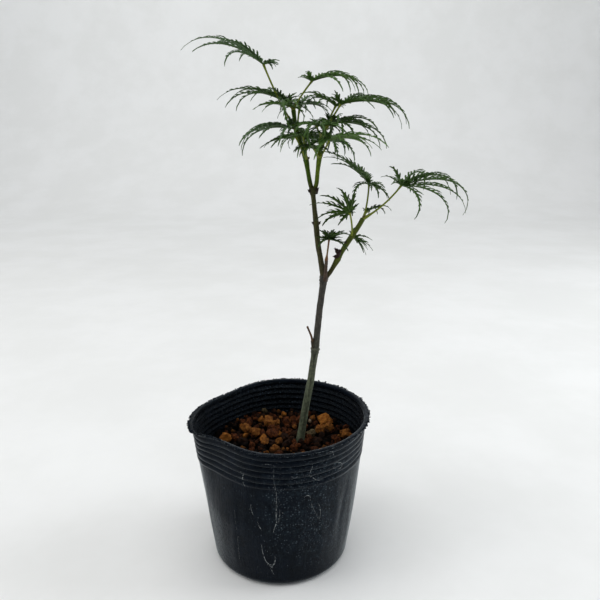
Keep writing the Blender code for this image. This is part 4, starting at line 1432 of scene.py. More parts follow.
@dataclass
class Wood:
    """The stems of the sapling, from the foot in the mix to the tips of the shoots."""

    trunk: tuple[Station, ...] = (
        (11.9, 3, 65.5, 3.1), (12, 3, 68, 2.75), (12.05, 3, 69.3, 2.55), (12.6, 3, 73, 2.35),
        (15, 2.5, 90, 2.2), (18, 2, 107.5, 2.05), (20, 1.5, 122.5, 2),
        (20.5, 1.5, 127, 2.3), (21.5, 1, 136, 1.9), (22.8, 0.5, 150.5, 1.8),
        (24.5, 0, 164.5, 1.9), (25, 0, 169, 2.4), (25.1, 0, 171.6, 2.3))
    leader: tuple[Station, ...] = (
        (25, 0, 169, 1.7), (23, 0, 181, 1.5), (21.5, 0, 190, 1.45),
        (20.6, 0, 199.5, 1.55), (19.6, 0, 208.5, 1.3), (18.9, 0, 215, 1.4),
        (18.8, 0, 217.5, 2.2), (18.9, 0, 219.6, 2))
    left_shoot: tuple[Station, ...] = (
        (18.7, 0, 217, 1.25), (17.2, 0.2, 221.5, 1.2), (16, 0.5, 228, 1.2),
        (15, 1, 233.5, 1.45), (13.5, 1.2, 238, 1.15), (12, 1.5, 243, 1.15),
        (10, 2, 248.5, 1.4), (9, 2.5, 254, 1.1), (8.3, 3, 259.5, 1.3))
    right_shoot: tuple[Station, ...] = (
        (19.2, 0, 217, 1.2), (20.6, -0.4, 221.5, 1.15), (21.2, -1, 228, 1.15),
        (22, -2, 235, 1.4), (22.5, -2.5, 240.5, 1.1), (23, -3, 246, 1.3))
    right_bough: tuple[Station, ...] = (
        (25.4, 0, 169, 1.4), (28.3, 0, 172.6, 1.25), (30.5, 0, 176.3, 1.3),
        (32.5, 0, 180, 1.75), (34.5, 0, 183.8, 1.4), (37, -0.5, 188.2, 1.45),
        (40, -1, 193, 1.5), (43.5, -1.5, 198.5, 1.3), (46, -2, 203.2, 1.4))
    spur: tuple[Station, ...] = (
        (25.6, -1.5, 168.5, 1.2), (25.8, -2.9, 171, 1.1), (25.9, -3, 174, 1),
        (26.2, -3, 178.6, 0.9), (26.2, -3, 180.8, 1))
    pruned_twig: tuple[Station, ...] = (
        (20, 0.9, 126.4, 1.25), (19.2, 0.4, 129.6, 0.95), (18.9, 0, 132.2, 0.92),
        (18.7, -0.3, 133.6, 0.66), (18.1, -1, 136.2, 0.6), (16.3, -1.9, 141, 0.58),
        (15.9, -2, 142.2, 0.8))

    def limbs(self) -> list[Limb]:
        """List the stems with their skins and scars."""
        pore = (0.13, 0.11, 0.075, 1)
        shoot_pore = (0.12, 0.15, 0.035, 1)
        return [
            Limb("trunk", self.trunk, BARK,
                 BarkFinish("trunk", (0.104, 0.124, 0.08, 1), (0.05, 0.047, 0.04, 1),
                            (0.01, 0.009, 0.006, 1), pore, 108, 142, 0.8),
                 (Collar(127.4, 0.42, 0.55), Collar(125.3, 0.2, 0.4), Collar(168, 0.26, 0.45),
                  Collar(166.4, 0.18, 0.35), Collar(147, 0.1, 0.4)), 0.11, 0.14, 0.75, 36),
            Limb("leader", self.leader, BARK,
                 BarkFinish("leader", (0.044, 0.037, 0.013, 1), (0.037, 0.038, 0.007, 1),
                            (0.011, 0.0085, 0.003, 1), pore, 170, 200, 0.65),
                 (Collar(199.5, 0.22, 0.4), Collar(201, 0.12, 0.3), Collar(216, 0.18, 0.4),
                  Collar(185, 0.08, 0.3))),
            Limb("left_shoot", self.left_shoot, GREEN_WOOD,
                 BarkFinish("left_shoot", (0.036, 0.024, 0.006, 1), (0.04, 0.082, 0.002, 1),
                            (0.018, 0.038, 0.002, 1), shoot_pore, 217, 225, 0.45, (0.35, 0.55), 0.12),
                 (Collar(233.6, 0.14, 0.35), Collar(248.5, 0.14, 0.35)), 0.035, 0.06),
            Limb("right_shoot", self.right_shoot, GREEN_WOOD,
                 BarkFinish("right_shoot", (0.036, 0.028, 0.006, 1), (0.084, 0.132, 0.006, 1),
                            (0.034, 0.058, 0.003, 1), shoot_pore, 217, 224, 0.45, (0.35, 0.55), 0.12),
                 (Collar(235, 0.14, 0.35),), 0.035, 0.06),
            Limb("right_bough", self.right_bough, GREEN_WOOD,
                 BarkFinish("right_bough", (0.044, 0.038, 0.011, 1), (0.066, 0.092, 0.008, 1),
                            (0.018, 0.021, 0.004, 1), shoot_pore, 171, 184, 0.5, (0.4, 0.62), 0.15),
                 (Collar(180.4, 0.2, 0.4), Collar(181.8, 0.14, 0.3), Collar(193, 0.14, 0.35)),
                 0.045, 0.08),
            Limb("spur", self.spur, BARK,
                 BarkFinish("spur", (0.07, 0.044, 0.03, 1), (0.06, 0.044, 0.03, 1),
                            (0.022, 0.013, 0.009, 1), pore, 170, 180, 0.5),
                 (Collar(174, 0.12, 0.25), Collar(175.2, 0.12, 0.25), Collar(176.6, 0.1, 0.25)),
                 0.05, 0.08, sides=20),
            Limb("pruned_twig", self.pruned_twig, BARK,
                 BarkFinish("twig", (0.04, 0.034, 0.02, 1), (0.095, 0.046, 0.018, 1),
                            (0.022, 0.011, 0.006, 1), pore, 132, 134, 0.5),
                 (Collar(132.4, 0.16, 0.25), Collar(139.8, 0.08, 0.2)), 0.04, 0.05, sides=16,
                 tip_round=0.3, node="trunk"),
        ]

    def bud_sets(self) -> list[BudSet]:
        """List the buds of each colour."""
        dark = StalkFinish("dark_bud", (0.01, 0.005, 0.004, 1), (0.034, 0.015, 0.01, 1), 0.9)
        scar = StalkFinish("leaf_scar", (0.11, 0.07, 0.04, 1), (0.2, 0.15, 0.1, 1), 0.9)
        tender = StalkFinish("tender_bud", (0.1, 0.045, 0.018, 1), (0.1, 0.12, 0.03, 1), 0.9)
        knot = StalkFinish("knot", (0.03, 0.014, 0.009, 1), (0.09, 0.05, 0.032, 1), 0.7)
        return [
            BudSet("leader_buds", (
                Bud((20.2, -0.6, 217.6), (1, -0.3, 0.8), 3.1, 0.9),
                Bud((17.4, -0.8, 217.2), (-1, -0.4, 0.8), 2.5, 0.8),
                Bud((20.4, 0.6, 216.2), (1, 0.4, 0.7), 2.2, 0.7),
                Bud((19.4, -0.2, 199.8), (-1, -0.2, 0.9), 2.2, 0.6),
                Bud((21.9, 0.2, 199.8), (1, 0.2, 0.9), 2.3, 0.65)), BARK, ("leader",), dark),
            BudSet("bough_buds", (
                Bud((33.4, -0.9, 183.2), (-1, -0.7, 0.8), 3.6, 1.05),
                Bud((33, 0.4, 183.6), (-1, 0.3, 1.2), 4.2, 1.05),
                Bud((32.4, -0.4, 181.6), (-1.2, -0.5, 0.3), 3.6, 0.95),
                Bud((33, -0.9, 182.4), (-1.1, -0.9, -0.1), 2.8, 0.85),
                Bud((32.6, 0.3, 184.8), (-1.2, 0.2, 0.9), 3, 0.8),
                Bud((33.9, -1, 184.6), (-0.5, -0.9, 1), 2.6, 0.7),
                Bud((37.2, -1.1, 189.4), (-1, -0.6, 0.9), 2.4, 0.7)), GREEN_WOOD, ("right_bough",),
                dark),
            BudSet("leaf_scars", (
                Bud((17.6, 0.4, 82.5), (1, -0.6, 0.25), 1.5, 1),
                Bud((12.4, 2.2, 83.5), (-0.9, -0.5, 0.2), 1.2, 0.8),
                Bud((20.9, -0.2, 127), (0.2, -1, 0.1), 1.1, 1.5)), BARK, ("trunk",), scar),
            BudSet("fork_knot", (
                Bud((23.9, -0.9, 169.6), (-0.8, -0.9, 0.1), 1.2, 1.2),
                Bud((24.9, -1.3, 167.9), (-0.1, -1, 0), 1.1, 1.3),
                Bud((26.4, -1.1, 169), (0.8, -0.9, 0.1), 1.2, 1.2),
                Bud((26.6, 0.9, 169.2), (0.7, 0.9, 0.1), 1.1, 1.2),
                Bud((24.2, 1, 168.6), (-0.6, 1, 0.1), 1.1, 1.2)), BARK, ("trunk",), knot),
            BudSet("shoot_buds", (
                Bud((8.3, 3, 259.8), (-0.1, -0.1, 1), 2.2, 0.75),
                Bud((23, -3, 246.4), (0.1, -0.1, 1), 2, 0.7),
                Bud((46.1, -2, 203.4), (0.4, -0.1, 1), 2.2, 0.75),
                Bud((11.2, 2.4, 249.4), (0.9, 0.3, 0.9), 1.6, 0.5),
                Bud((16.2, 1.6, 234.4), (0.9, 0.5, 0.8), 1.6, 0.5),
                Bud((21, -1.2, 235.8), (-0.9, 0.6, 0.8), 1.5, 0.5)), GREEN_WOOD,
                ("left_shoot", "right_shoot", "right_bough"), tender),
        ]

    def build(self) -> None:
        """Make every stem and bud."""
        for limb in self.limbs():
            limb.build()
        for buds in self.bud_sets():
            buds.build()


# ---- foliage
class Rank(NamedTuple):
    """A pair of lobes: angle off the heading, share of the reach, lift and share of droop."""

    angle: float
    share: float
    lift: float
    droop: float


class Leaf(NamedTuple):
    """One leaf, as the source places it.

    The seed sets the chance that varies its lobes. The heading, pitch and roll are in
    degrees, the reach is in millimetres and the droop in radians. The fan narrows the spread
    of the lobes, back lengthens the rearmost pair and rise scales its lift, own says how far
    a lobe droops in the leaf's own plane, and late is the share of the droop that comes near
    the tip. The hook is how far, in radians, the thin tips bend on beyond that, the tuft is
    how many short lobes stand over the stalk, and broad widens its blades. Each extra lobe
    has the turn, share of the reach, lift and droop of a tuft's.
    """

    name: str
    seed: int
    tint: Tint
    node: Spot
    base: Spot
    bow: Spot
    heading: float
    pitch: float
    roll: float
    reach: float
    droop: float
    lobes: int = 9
    fan: float = 0.8
    back: float = 1
    own: float = 0
    rise: float = 1
    late: float = 0.55
    hook: float = 0.1
    tuft: int = 2
    broad: float = 1
    extra: tuple[Station, ...] = ()


class LobePoint(NamedTuple):
    """A place on a lobe: its point, its direction, the blade's cross direction and its face."""

    point: Vector
    along: Vector
    across: Vector
    face: Vector


LEFT_LOW = (15.2, 1, 233.5)
LEFT_MIDDLE = (10.1, 2, 248.5)
LEFT_TIP = (8.3, 3, 259)
RIGHT_LOW = (22, -2, 235)
RIGHT_TIP = (23, -3, 245.5)
BOUGH_MIDDLE = (40, -1, 193)
BOUGH_TIP = (46, -2, 202.8)
SPUR_TIP = (26.2, -3, 180.3)

LEAVES = (
    Leaf("leaf_top_left", 37, BLUE, LEFT_MIDDLE, (-7, 3, 281.5), (-1, 0, -2), 176, 33, 0, 46.5, 1.2,
         7, 0.6, back=0.7, rise=0.9, late=0.4,
         extra=((44, 0.68, 6, 2), (-150, 0.2, 44, 1.4), (128, 0.2, 30, 1.7))),
    Leaf("leaf_bough_tip", 13, DEEP, BOUGH_TIP, (65.5, -3, 220.5), (2, 0, -2), -2, 10, 22, 49, 2,
         9, 0.75, 1.2, late=0.6, hook=0.3),
    Leaf("leaf_upper_right", 31, DEEP, RIGHT_TIP, (32.5, -7, 261.5), (-1, 0, -1), -4, 11, 8, 44,
         1.4, 9, 0.65, late=0.6),
    Leaf("leaf_top_right", 81, MID, LEFT_TIP, (18, 5, 273.5), (-2, 0, -1), 2, 16, 8, 40, 1.8, 9,
         0.65, late=0.6),
    Leaf("leaf_bough_left", 159, DEEP, BOUGH_TIP, (49.5, 7, 220.5), (1, 0, -1), 165, 46, 0, 34, 0.9,
         9, 0.8, 2.2, rise=0.35,
         extra=((172, 0.46, 40, 1.2), (140, 0.4, 30, 1.9), (-150, 0.42, 24, 1.7), (62, 0.66, -8, 1.7))),
    Leaf("leaf_bough_inner", 24, FRESH, BOUGH_MIDDLE, (38, -9, 207), (1, -2, 0), 172, 26, 58, 21,
         0.6, 9, 1.1, 1.5, 0.6, tuft=0, broad=1.35, hook=0.6),
    Leaf("leaf_upper_left", 29, DEEP, LEFT_TIP, (4.5, 6, 263), (0, 0, 1), 174, 25, -6, 37.5, 1.7, 9,
         0.65, late=0.5, tuft=4),
    Leaf("leaf_middle_left", 119, BLUE, LEFT_MIDDLE, (6, -2.5, 250), (0, 0, 1), 186, 6, 0, 35, 1.5,
         9, 0.7, late=0.5, tuft=4, broad=1.15),
    Leaf("leaf_low_right", 46, MID, RIGHT_LOW, (26.5, -12, 244), (1, -1, 0), -10, 8, 0, 31, 1.6, 9,
         0.75, tuft=5, broad=1.15),
    Leaf("leaf_middle_right", 53, DEEP, RIGHT_TIP, (27.5, 2, 252), (0, 1, 0), -12, 6, 0, 36, 1.5, 9,
         0.7, tuft=5, broad=1.15, extra=((-60, 0.66, 22, 1.9), (-128, 0.5, 30, 1.7))),
    Leaf("leaf_spur", 6, FRESH, SPUR_TIP, (27.5, -5, 192), (0, -1, 0), 72, 30, 0, 11.5, 0.5, 7, 1.25,
         1, 0.8, tuft=0, broad=1.5,
         extra=((70, 0.9, 56, 0.5), (-90, 1.5, 44, 0.6), (-108, 1.25, 22, 0.9), (150, 0.8, 30, 1.3))),
    Leaf("leaf_back_right", 27, MID, RIGHT_TIP, (30.5, 5, 261), (-1, 0, -1), 165, 35, 0, 25, 1.5, 7,
         0.7),
    Leaf("leaf_back_middle", 13, BLUE, LEFT_MIDDLE, (11.5, 11, 262), (0, 2, -1), 15, 10, 0, 23, 1.6,
         9, 1, tuft=3),
    Leaf("leaf_short_left", 14, MID, LEFT_TIP, (5.5, -2, 261), (0, 0, 1), 205, 8, 0, 20, 1, 7, 0.9,
         tuft=5, broad=1.2),
    Leaf("leaf_low_left", 15, FRESH, LEFT_LOW, (9.5, -5, 245.5), (0, 0, 1), 205, -9, 0, 21, 0.8, 5,
         broad=1.2),
    Leaf("leaf_front_middle", 16, DEEP, RIGHT_TIP, (20, -13, 251), (0, -3, -1), -95, 5, 0, 23, 1.6, 9,
         1, tuft=5, broad=1.2),
    Leaf("leaf_front_left", 17, DEEP, LEFT_LOW, (13.5, -9, 246), (0, -2, -1), -120, 0, 0, 22, 1.4, 7,
         1, tuft=5, broad=1.2),
    Leaf("leaf_front_small", 18, FRESH, RIGHT_LOW, (19, -9, 239.5), (0, -2, -1), -130, 15, 0, 16,
         1.2, 7, 1, tuft=5, broad=1.2),
    Leaf("leaf_bough_under", 19, DEEP, BOUGH_MIDDLE, (40.5, 5, 192.5), (0, 1, 1), 0, -44, 0, 15, 0.5,
         7, 1.2, 1, 0.3, extra=((30, 0.95, 24, 0.6), (-24, 0.9, 24, 0.6), (4, 0.8, 44, 0.9))),
    Leaf("leaf_bough_small", 20, FRESH, BOUGH_TIP, (48.5, 3, 206), (0, 1, 1), 10, 30, 0, 15, 1.9, 5,
         0.9),
    Leaf("leaf_rear_left", 21, MID, LEFT_LOW, (15, 12, 244), (0, 2, -1), 100, 12, 0, 30, 1.6, 7,
         tuft=5),
    Leaf("leaf_rear_right", 22, BLUE, RIGHT_LOW, (25, 9, 243), (0, 2, -1), 60, 10, 0, 28, 1.6, 7,
         tuft=5),
)

FANS = {
    9: (Rank(0, 1, 4, 1), Rank(21, 0.96, 6, 1.05), Rank(45, 0.84, 8, 1.1),
        Rank(72, 0.64, 12, 1), Rank(104, 0.24, 60, 0.6)),
    7: (Rank(0, 1, 4, 1), Rank(27, 0.9, 7, 1.1), Rank(62, 0.66, 12, 1.1),
        Rank(118, 0.36, 45, 0.8)),
    5: (Rank(0, 1, 4, 1), Rank(34, 0.8, 8, 1.1), Rank(85, 0.45, 30, 1)),
}

# where a lobe would meet another piece the source lifts or swings it by one of these
NUDGES = ((0, 0), (7, 0), (-7, 0), (0, 7), (0, -7), (13, 0), (-13, 0), (9, 9), (9, -9),
          (20, 0), (0, 16), (0, -16), (20, 14), (20, -14))


@dataclass
class Foliage:
    """The leaves: stalks, midribs and finely cut blades that follow the source's lobes."""

    line_steps: int = 12
    # how far chance moves a lobe's angle, its share of length, its lift, its droop and its sway
    angle_chance: float = 7
    length_chance: float = 0.11
    lift_chance: float = 4
    droop_chance: float = 0.3
    sway: float = 0.45
    strayed: float = 1.2
    hook_from: float = 0.62
    # turns in degrees, share of the reach, lift in degrees and droop of the tuft at a leaf's base
    tuft: tuple[Station, ...] = (
        (140, 0.24, 40, 0.9), (-146, 0.2, 52, 1), (164, 0.62, 10, 1.9),
        (84, 0.8, 14, 1.8), (-88, 0.76, 12, 1.9))
    tuft_from: int = 7
    cut_from: float = 0.07
    body_to: float = 0.66
    cut_to: float = 0.86
    cut_pitch: float = 2.8
    root_share: float = 0.56
    longest: float = 1.2
    longest_per_length: float = 0.088
    slant: Span = (43, 20)
    web_least: float = 0.42
    web_swell: float = 0.46
    thread: float = 0.39
    fold: float = 0.42
    fold_spread: float = 0.3
    curl: float = 0.7
    tip_fall: float = 0.26
    dished: float = 0.16
    rib_pitch: float = 1.9
    rib_sides: int = 5
    stalk_rows: int = 26
    stalk_sides: int = 10
    thickness: float = 0.18
    # share of a segment's length and share of its root's half width, from root to tip
    segment_rows: tuple[Span, ...] = (
        (0.2, 0.94), (0.4, 0.84), (0.5, 1.06), (0.56, 0.56), (0.74, 0.7), (0.81, 0.3))
    short_rows: tuple[Span, ...] = ((0.45, 0.8),)
    short_below: float = 1.5
    rib_radius: float = 0.26
    stalk_radius: float = 0.52
    greens: dict[Tint, tuple[Colour, Colour]] = field(default_factory=lambda: {
        DEEP: ((0.019, 0.052, 0.005, 1), (0.047, 0.105, 0.018, 1)),
        BLUE: ((0.037, 0.076, 0.028, 1), (0.084, 0.146, 0.06, 1)),
        MID: ((0.042, 0.099, 0.015, 1), (0.09, 0.172, 0.038, 1)),
        # the darkest tint: a saturated green darkened as painted shade for leaves low in and inside the crown
        FRESH: ((0.01, 0.029, 0.002, 1), (0.03, 0.066, 0.006, 1)),
    })
    underside: tuple[Colour, Colour] = ((0.034, 0.066, 0.014, 1), (0.054, 0.092, 0.026, 1))
    vein: Colour = (0.09, 0.14, 0.034, 1)

    def build(self) -> None:
        """Grow every leaf and hand over the joined pieces."""
        blades = {tint: Skin() for tint in Tint}
        ribs, stalks, red_stalks = Skin(), Skin(), Skin()
        names: dict[Tint, list[str]] = {tint: [] for tint in Tint}
        for leaf in LEAVES:
            self._stalk(red_stalks if leaf.name == "leaf_spur" else stalks, leaf)
            detail = Random(1000 + leaf.seed)
            lobes = list(self._lobes(leaf))
            lobes += self._tuft(leaf, detail)
            for line, length in lobes:
                line = self._hooked(line, leaf.hook * detail.uniform(0.4, 1.5))
                self._blade(blades[leaf.tint], line, length, leaf.broad, detail)
                self._rib(ribs, line, length)
            names[leaf.tint].append(leaf.name)
            LOG.info("%s: %d lobes", leaf.name, len(lobes))
        back = BladeFinish("under", *self.underside, self.vein, (0.6, 0.8)).material()
        for tint, skin in blades.items():
            piece = skin.build("blades_" + tint.value)
            apply_modifier(piece, "SOLIDIFY", {"thickness": self.thickness * MM, "offset": -1,
                                               "material_offset": 1})
            front = BladeFinish(tint.value, *self.greens[tint], self.vein).material()
            present(piece, 55, FOLIAGE, names[tint], front, back)
        everyone = [leaf.name for leaf in LEAVES]
        green = StalkFinish("green", (0.13, 0.17, 0.01, 1), (0.2, 0.23, 0.026, 1))
        pale = StalkFinish("rib", (0.044, 0.086, 0.016, 1), (0.078, 0.126, 0.03, 1))
        red = StalkFinish("red", (0.13, 0.034, 0.02, 1), (0.15, 0.11, 0.034, 1), 0.09)
        for skin, name, finish, nodes in ((ribs, "leaf_ribs", pale, everyone),
                                          (stalks, "leaf_stalks", green, everyone),
                                          (red_stalks, "red_stalk", red, ["leaf_spur"])):
            present(skin.build(name), 80, FOLIAGE, nodes, finish.material())

    @staticmethod
    def _direction(azimuth: float, elevation: float) -> Vector:
        """Give the unit vector of a heading and a pitch in degrees."""
        a, e = radians(azimuth), radians(elevation)
        return spoke(a, cos(e), sin(e))

    def _line(self, base: Vector, start: Vector, hinge: Vector, length: float, droop: float,
              sway: float, late: float) -> Midline:
        """Walk along a drooping midrib.

        Args:
            base: where it starts.
            start: its first direction.
            hinge: the level axis that it droops about.
            length: its length.
            droop: its whole turn downwards in radians.
            sway: its whole turn sideways in radians.
            late: the share of the droop that comes near the tip.

        Returns:
            Points with the blade's cross direction there.
        """
        step = length / self.line_steps
        point, heading = base.copy(), start.normalized()
        line = []
        for i in range(self.line_steps + 1):
            across = (hinge - heading * hinge.dot(heading)).normalized()
            line.append((point.copy(), across))
            share = (i + 0.5) / self.line_steps
            point += heading * step
            fall = droop * (1 - late + 3 * late * share * share) / self.line_steps
            heading = Matrix.Rotation(fall, 3, hinge) @ heading
            heading = Matrix.Rotation(sway / self.line_steps, 3, UP) @ heading
        return line

    def _hooked(self, line: Midline, hook: float) -> Midline:
        """Bend the thin tip of a midrib on.

        Args:
            line: the midrib.
            hook: its further turn in radians.

        Returns:
            The bent midrib.
        """
        first = round(self.hook_from * self.line_steps)
        result = list(line[:first + 1])
        point = line[first][0].copy()
        for i in range(first, self.line_steps):
            turn = hook * (i + 1 - first) / (self.line_steps - first)
            point = point + Matrix.Rotation(turn, 3, line[i][1]) @ (line[i + 1][0] - line[i][0])
            result.append((point, line[i + 1][1]))
        return result

    def _plane(self, leaf: Leaf) -> tuple[Vector, Vector, Vector]:
        """Give the ahead, side and face directions of a leaf."""
        ahead = self._direction(leaf.heading, leaf.pitch)
        side = UP.cross(ahead).normalized()
        face = ahead.cross(side)
        roll = radians(leaf.roll)
        return ahead, turned(side, face, roll), turned(face, -side, roll)

    @staticmethod
    def _hinge(flat: Vector, face: Vector, own: float) -> Vector:
        """Give the axis that a lobe droops about, level or in the leaf's own plane."""
        slack = face.cross(flat).normalized()
        level = UP.cross(flat)
        return slack if level.length < 0.35 else (level * (1 - own) + slack * own).normalized()

    def _starts(self, leaf: Leaf) -> Iterator[tuple[Vector, Vector, float, float, float]]:
        """Yield start direction, hinge, length, droop and sway of each lobe of a leaf."""
        rng = Random(leaf.seed)
        ahead, side, face = self._plane(leaf)
        ranks = FANS[leaf.lobes]
        last = len(ranks) - 1
        for place in range(-last, last + 1):
            rank = ranks[abs(place)]
            jitter = [rng.uniform(-1, 1) for _ in range(5)]
            rear = abs(place) == last
            angle = copysign(rank.angle, place) * (1 if rear else leaf.fan)
            turn = radians(angle + self.angle_chance * jitter[0])
            length = leaf.reach * rank.share * (leaf.back if rear else 1)
            length *= 1 + self.length_chance * jitter[1]
            flat = turned(ahead, side, turn)
            lift = rank.lift * (leaf.rise if rear else 1) + self.lift_chance * jitter[2]
            start = flat + face * tan(radians(lift))
            yield (start, self._hinge(flat, face, leaf.own), length,
                   leaf.droop * rank.droop * (1 + self.droop_chance * jitter[3]), self.sway * jitter[4])

    def _lobes(self, leaf: Leaf) -> Iterator[tuple[Midline, float]]:
        """Yield each lobe's midline and length where the CAD leaf has that lobe.

        Args:
            leaf: the leaf.

        Yields:
            The midline that lies nearest the CAD leaf of those that the source tries.
        """
        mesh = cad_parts[leaf.name].data
        tree = BVHTree.FromPolygons([v.co / MM for v in mesh.vertices],
                                    [tuple(p.vertices) for p in mesh.polygons])
        base = Vector(leaf.base)
        for start, hinge, length, droop, sway in self._starts(leaf):
            tried = []
            for lift, swing in NUDGES:
                turn = Matrix.Rotation(radians(swing), 3, UP)
                moved = turn @ (Matrix.Rotation(radians(-lift), 3, hinge) @ start)
                line = self._line(base, moved, turn @ hinge, length, droop, sway, leaf.late)
                off = sum(tree.find_nearest(point)[3] for point, _ in line[2:]) / (len(line) - 2)
                tried.append((off, len(tried), line))
            off, _, line = min(tried)
            if off < self.strayed:
                yield line, length

    def _tuft(self, leaf: Leaf, rng: Random) -> Iterator[tuple[Midline, float]]:
        """Yield the short lobes that stand back over a leaf's stalk, and its extra ones.

        Args:
            leaf: the leaf.
            rng: the chance that varies them.

        Yields:
            Each one's midline and length.
        """
        tuft = self.tuft[:leaf.tuft] if leaf.lobes >= self.tuft_from else ()
        ahead, side, face = self._plane(leaf)
        for angle, share, lift, droop in tuft + leaf.extra:
            turn = radians(angle + rng.uniform(-9, 9))
            flat = turned(ahead, side, turn)
            start = flat + face * tan(radians(lift + rng.uniform(-10, 10)))
            length = leaf.reach * share * rng.uniform(0.8, 1.2)
            yield self._line(Vector(leaf.base), start, self._hinge(flat, face, 0), length,
                             droop * rng.uniform(0.7, 1.4), rng.uniform(-0.5, 0.5), 0.6), length

    def _read(self, line: Midline, share: float) -> LobePoint:
        """Read a midline smoothly at a share of its length."""
        place = min(max(share, 0), 1) * self.line_steps
        i = min(int(place), self.line_steps - 1)
        span = (line[min(max(k, 0), self.line_steps)][0] for k in range(i - 1, i + 3))
        point, along = spline(*span, place - i)
        along.normalize()
        across = line[i][1].lerp(line[i + 1][1], place - i)
        across = (across - along * across.dot(along)).normalized()
        return LobePoint(point, along, across, along.cross(across))

    def _cut(self, length: float, share: float) -> float:
        """Give the length of a cut segment at a share of a lobe's length."""
        rise = 0.5 + 0.5 * eased(0, 0.26, share)
        fall = 1 - 0.56 * eased(0.36, self.body_to, share) - 0.28 * eased(self.body_to, self.cut_to, share)
        return (self.longest + self.longest_per_length * length) * rise * fall

    def _web(self, length: float, share: float) -> float:
        """Give the half width of the uncut blade beside the midrib."""
        small = min(1, 0.6 + length / 70)
        swell = self.web_swell * sin(pi * min(share / 0.74, 1))
        body = small * (self.web_least + swell)
        thin = self.thread * small
        mixed = body + (thin - body) * eased(self.body_to - 0.12, self.body_to + 0.06, share)
        return max(mixed * (1 - eased(0.9, 1, share)), 0.05)

    def _blade(self, skin: Skin, line: Midline, length: float, broad: float,
               rng: Random) -> None:
        """Grow the blade of one lobe: a web along the midrib and cut segments beside it.

        Args:
            skin: the mesh in the making.
            line: the lobe's midline.
            length: its length.
            broad: how much broader than most it is.
            rng: the chance that varies the segments.
        """
        pairs = max(3, round(length * (self.cut_to - self.cut_from) / (self.cut_pitch * sqrt(broad))))
        pitch = (self.cut_to - self.cut_from) / pairs
        shares = [-0.5 / length, 0.4 * self.cut_from]
        roots = []
        for i in range(pairs):
            roots.append(len(shares))
            shares += [self.cut_from + i * pitch, self.cut_from + (i + self.root_share) * pitch]
        shares += [self.cut_to + 0.5 * (1 - self.cut_to), 1]
        curl = rng.uniform(-self.curl, self.curl)
        places = []
        for share in shares:
            here = self._read(line, share)
            twist = Matrix.Rotation(curl * max(share, 0) ** 1.5, 3, here.along)
            places.append(LobePoint(here.point + here.along * min(share, 0) * length, here.along,
                                    twist @ here.across, twist @ here.face))
        middle = [skin.put(p.point) for p in places]
        for side in (1, -1):
            edge = []
            for share, p in zip(shares, places):
                web = self._web(length, max(share, 0)) * broad
                rise = self.fold * web * (1 - 0.6 * eased(0.5, 0.8, share))
                edge.append(skin.put(p.point + p.across * side * web + p.face * rise))
            for i in range(len(shares) - 1):
                skin.quad((middle[i], middle[i + 1], edge[i + 1], edge[i]),
                          ((0.5, shares[i]), (0.5, shares[i + 1]), (0, shares[i + 1]), (0, shares[i])),
                          side < 0)
            for i in roots:
                late = shares[i] + 0.5 * self.root_share * pitch
                long = self._cut(length, late) * (1 + 0.24 * rng.uniform(-1, 1))
                self._segment(skin, places[i], side, long, (edge[i], edge[i + 1]), late, rng)

    def _segment(self, skin: Skin, place: LobePoint, side: int, long: float, root: tuple[int, int],
                 share: float, rng: Random) -> None:
        """Grow one toothed segment from the web, pointing forwards.

        Args:
            skin: the mesh in the making.
            place: the lobe at the segment's root.
            side: 1 or -1, the side of the midrib.
            long: its length.
            root: the numbers of its two root vertices, the rear one first.
            share: its place along the lobe.
            rng: the chance that varies it.
        """
        late = eased(0, self.body_to, share)
        slant = self.slant[0] + (self.slant[1] - self.slant[0]) * late + rng.uniform(-6, 6)
        slant = radians(slant)
        rise = self.fold + self.fold_spread * rng.uniform(-1, 1)
        out = turned(place.along, turned(place.across * side, place.face, rise), slant)
        front = (place.along - out * out.dot(place.along)).normalized()
        face = front.cross(out) * side
        rear_foot, front_foot = skin.points[root[0]], skin.points[root[1]]
        foot = (rear_foot + front_foot) / 2
        half = (front_foot - rear_foot).length * 0.5 * sin(slant) * 1.12
        bend = rng.uniform(0.08, 0.24)
        before: tuple[int, ...] = ()
        rows = self.short_rows if long < self.short_below else self.segment_rows
        spots = ((0, share), (0.5, share), (1, share))
        for along, wide in rows:
            droop = (0.1 * sin(pi * along) - self.tip_fall * along * along) * long
            point = foot + out * long * along + place.along * bend * long * along * along + face * droop
            edge = front * half * wide
            lip = face * self.dished * half * wide
            row = (skin.put(point - edge + lip), skin.put(point), skin.put(point + edge + lip))
            if before:
                for k in (0, 1):
                    skin.quad((before[k], before[k + 1], row[k + 1], row[k]),
                              (spots[k], spots[k + 1], spots[k + 1], spots[k]), side < 0)
            else:
                skin.quad((root[0], row[1], row[0]), (spots[0], spots[1], spots[0]), side < 0)
                skin.quad((root[0], root[1], row[1]), (spots[0], spots[2], spots[1]), side < 0)
                skin.quad((root[1], row[2], row[1]), (spots[2], spots[2], spots[1]), side < 0)
            before = row
        tip = skin.put(foot + out * long + place.along * bend * long - face * self.tip_fall * long)
        for k in (0, 1):
            skin.quad((before[k], before[k + 1], tip), (spots[k], spots[k + 1], spots[1]), side < 0)

    def _rib(self, skin: Skin, line: Midline, length: float) -> None:
        """Run the raised midrib along a lobe."""
        rows = max(8, round(length / self.rib_pitch))
        path, radii = [], []
        for i in range(rows + 1):
            share = i / rows
            here = self._read(line, share)
            path.append(here.point - here.face * 0.1)
            radii.append(self.rib_radius * (1 - 0.7 * share) * min(1, 0.6 + length / 80))
        skin.tube(path, radii, self.rib_sides)

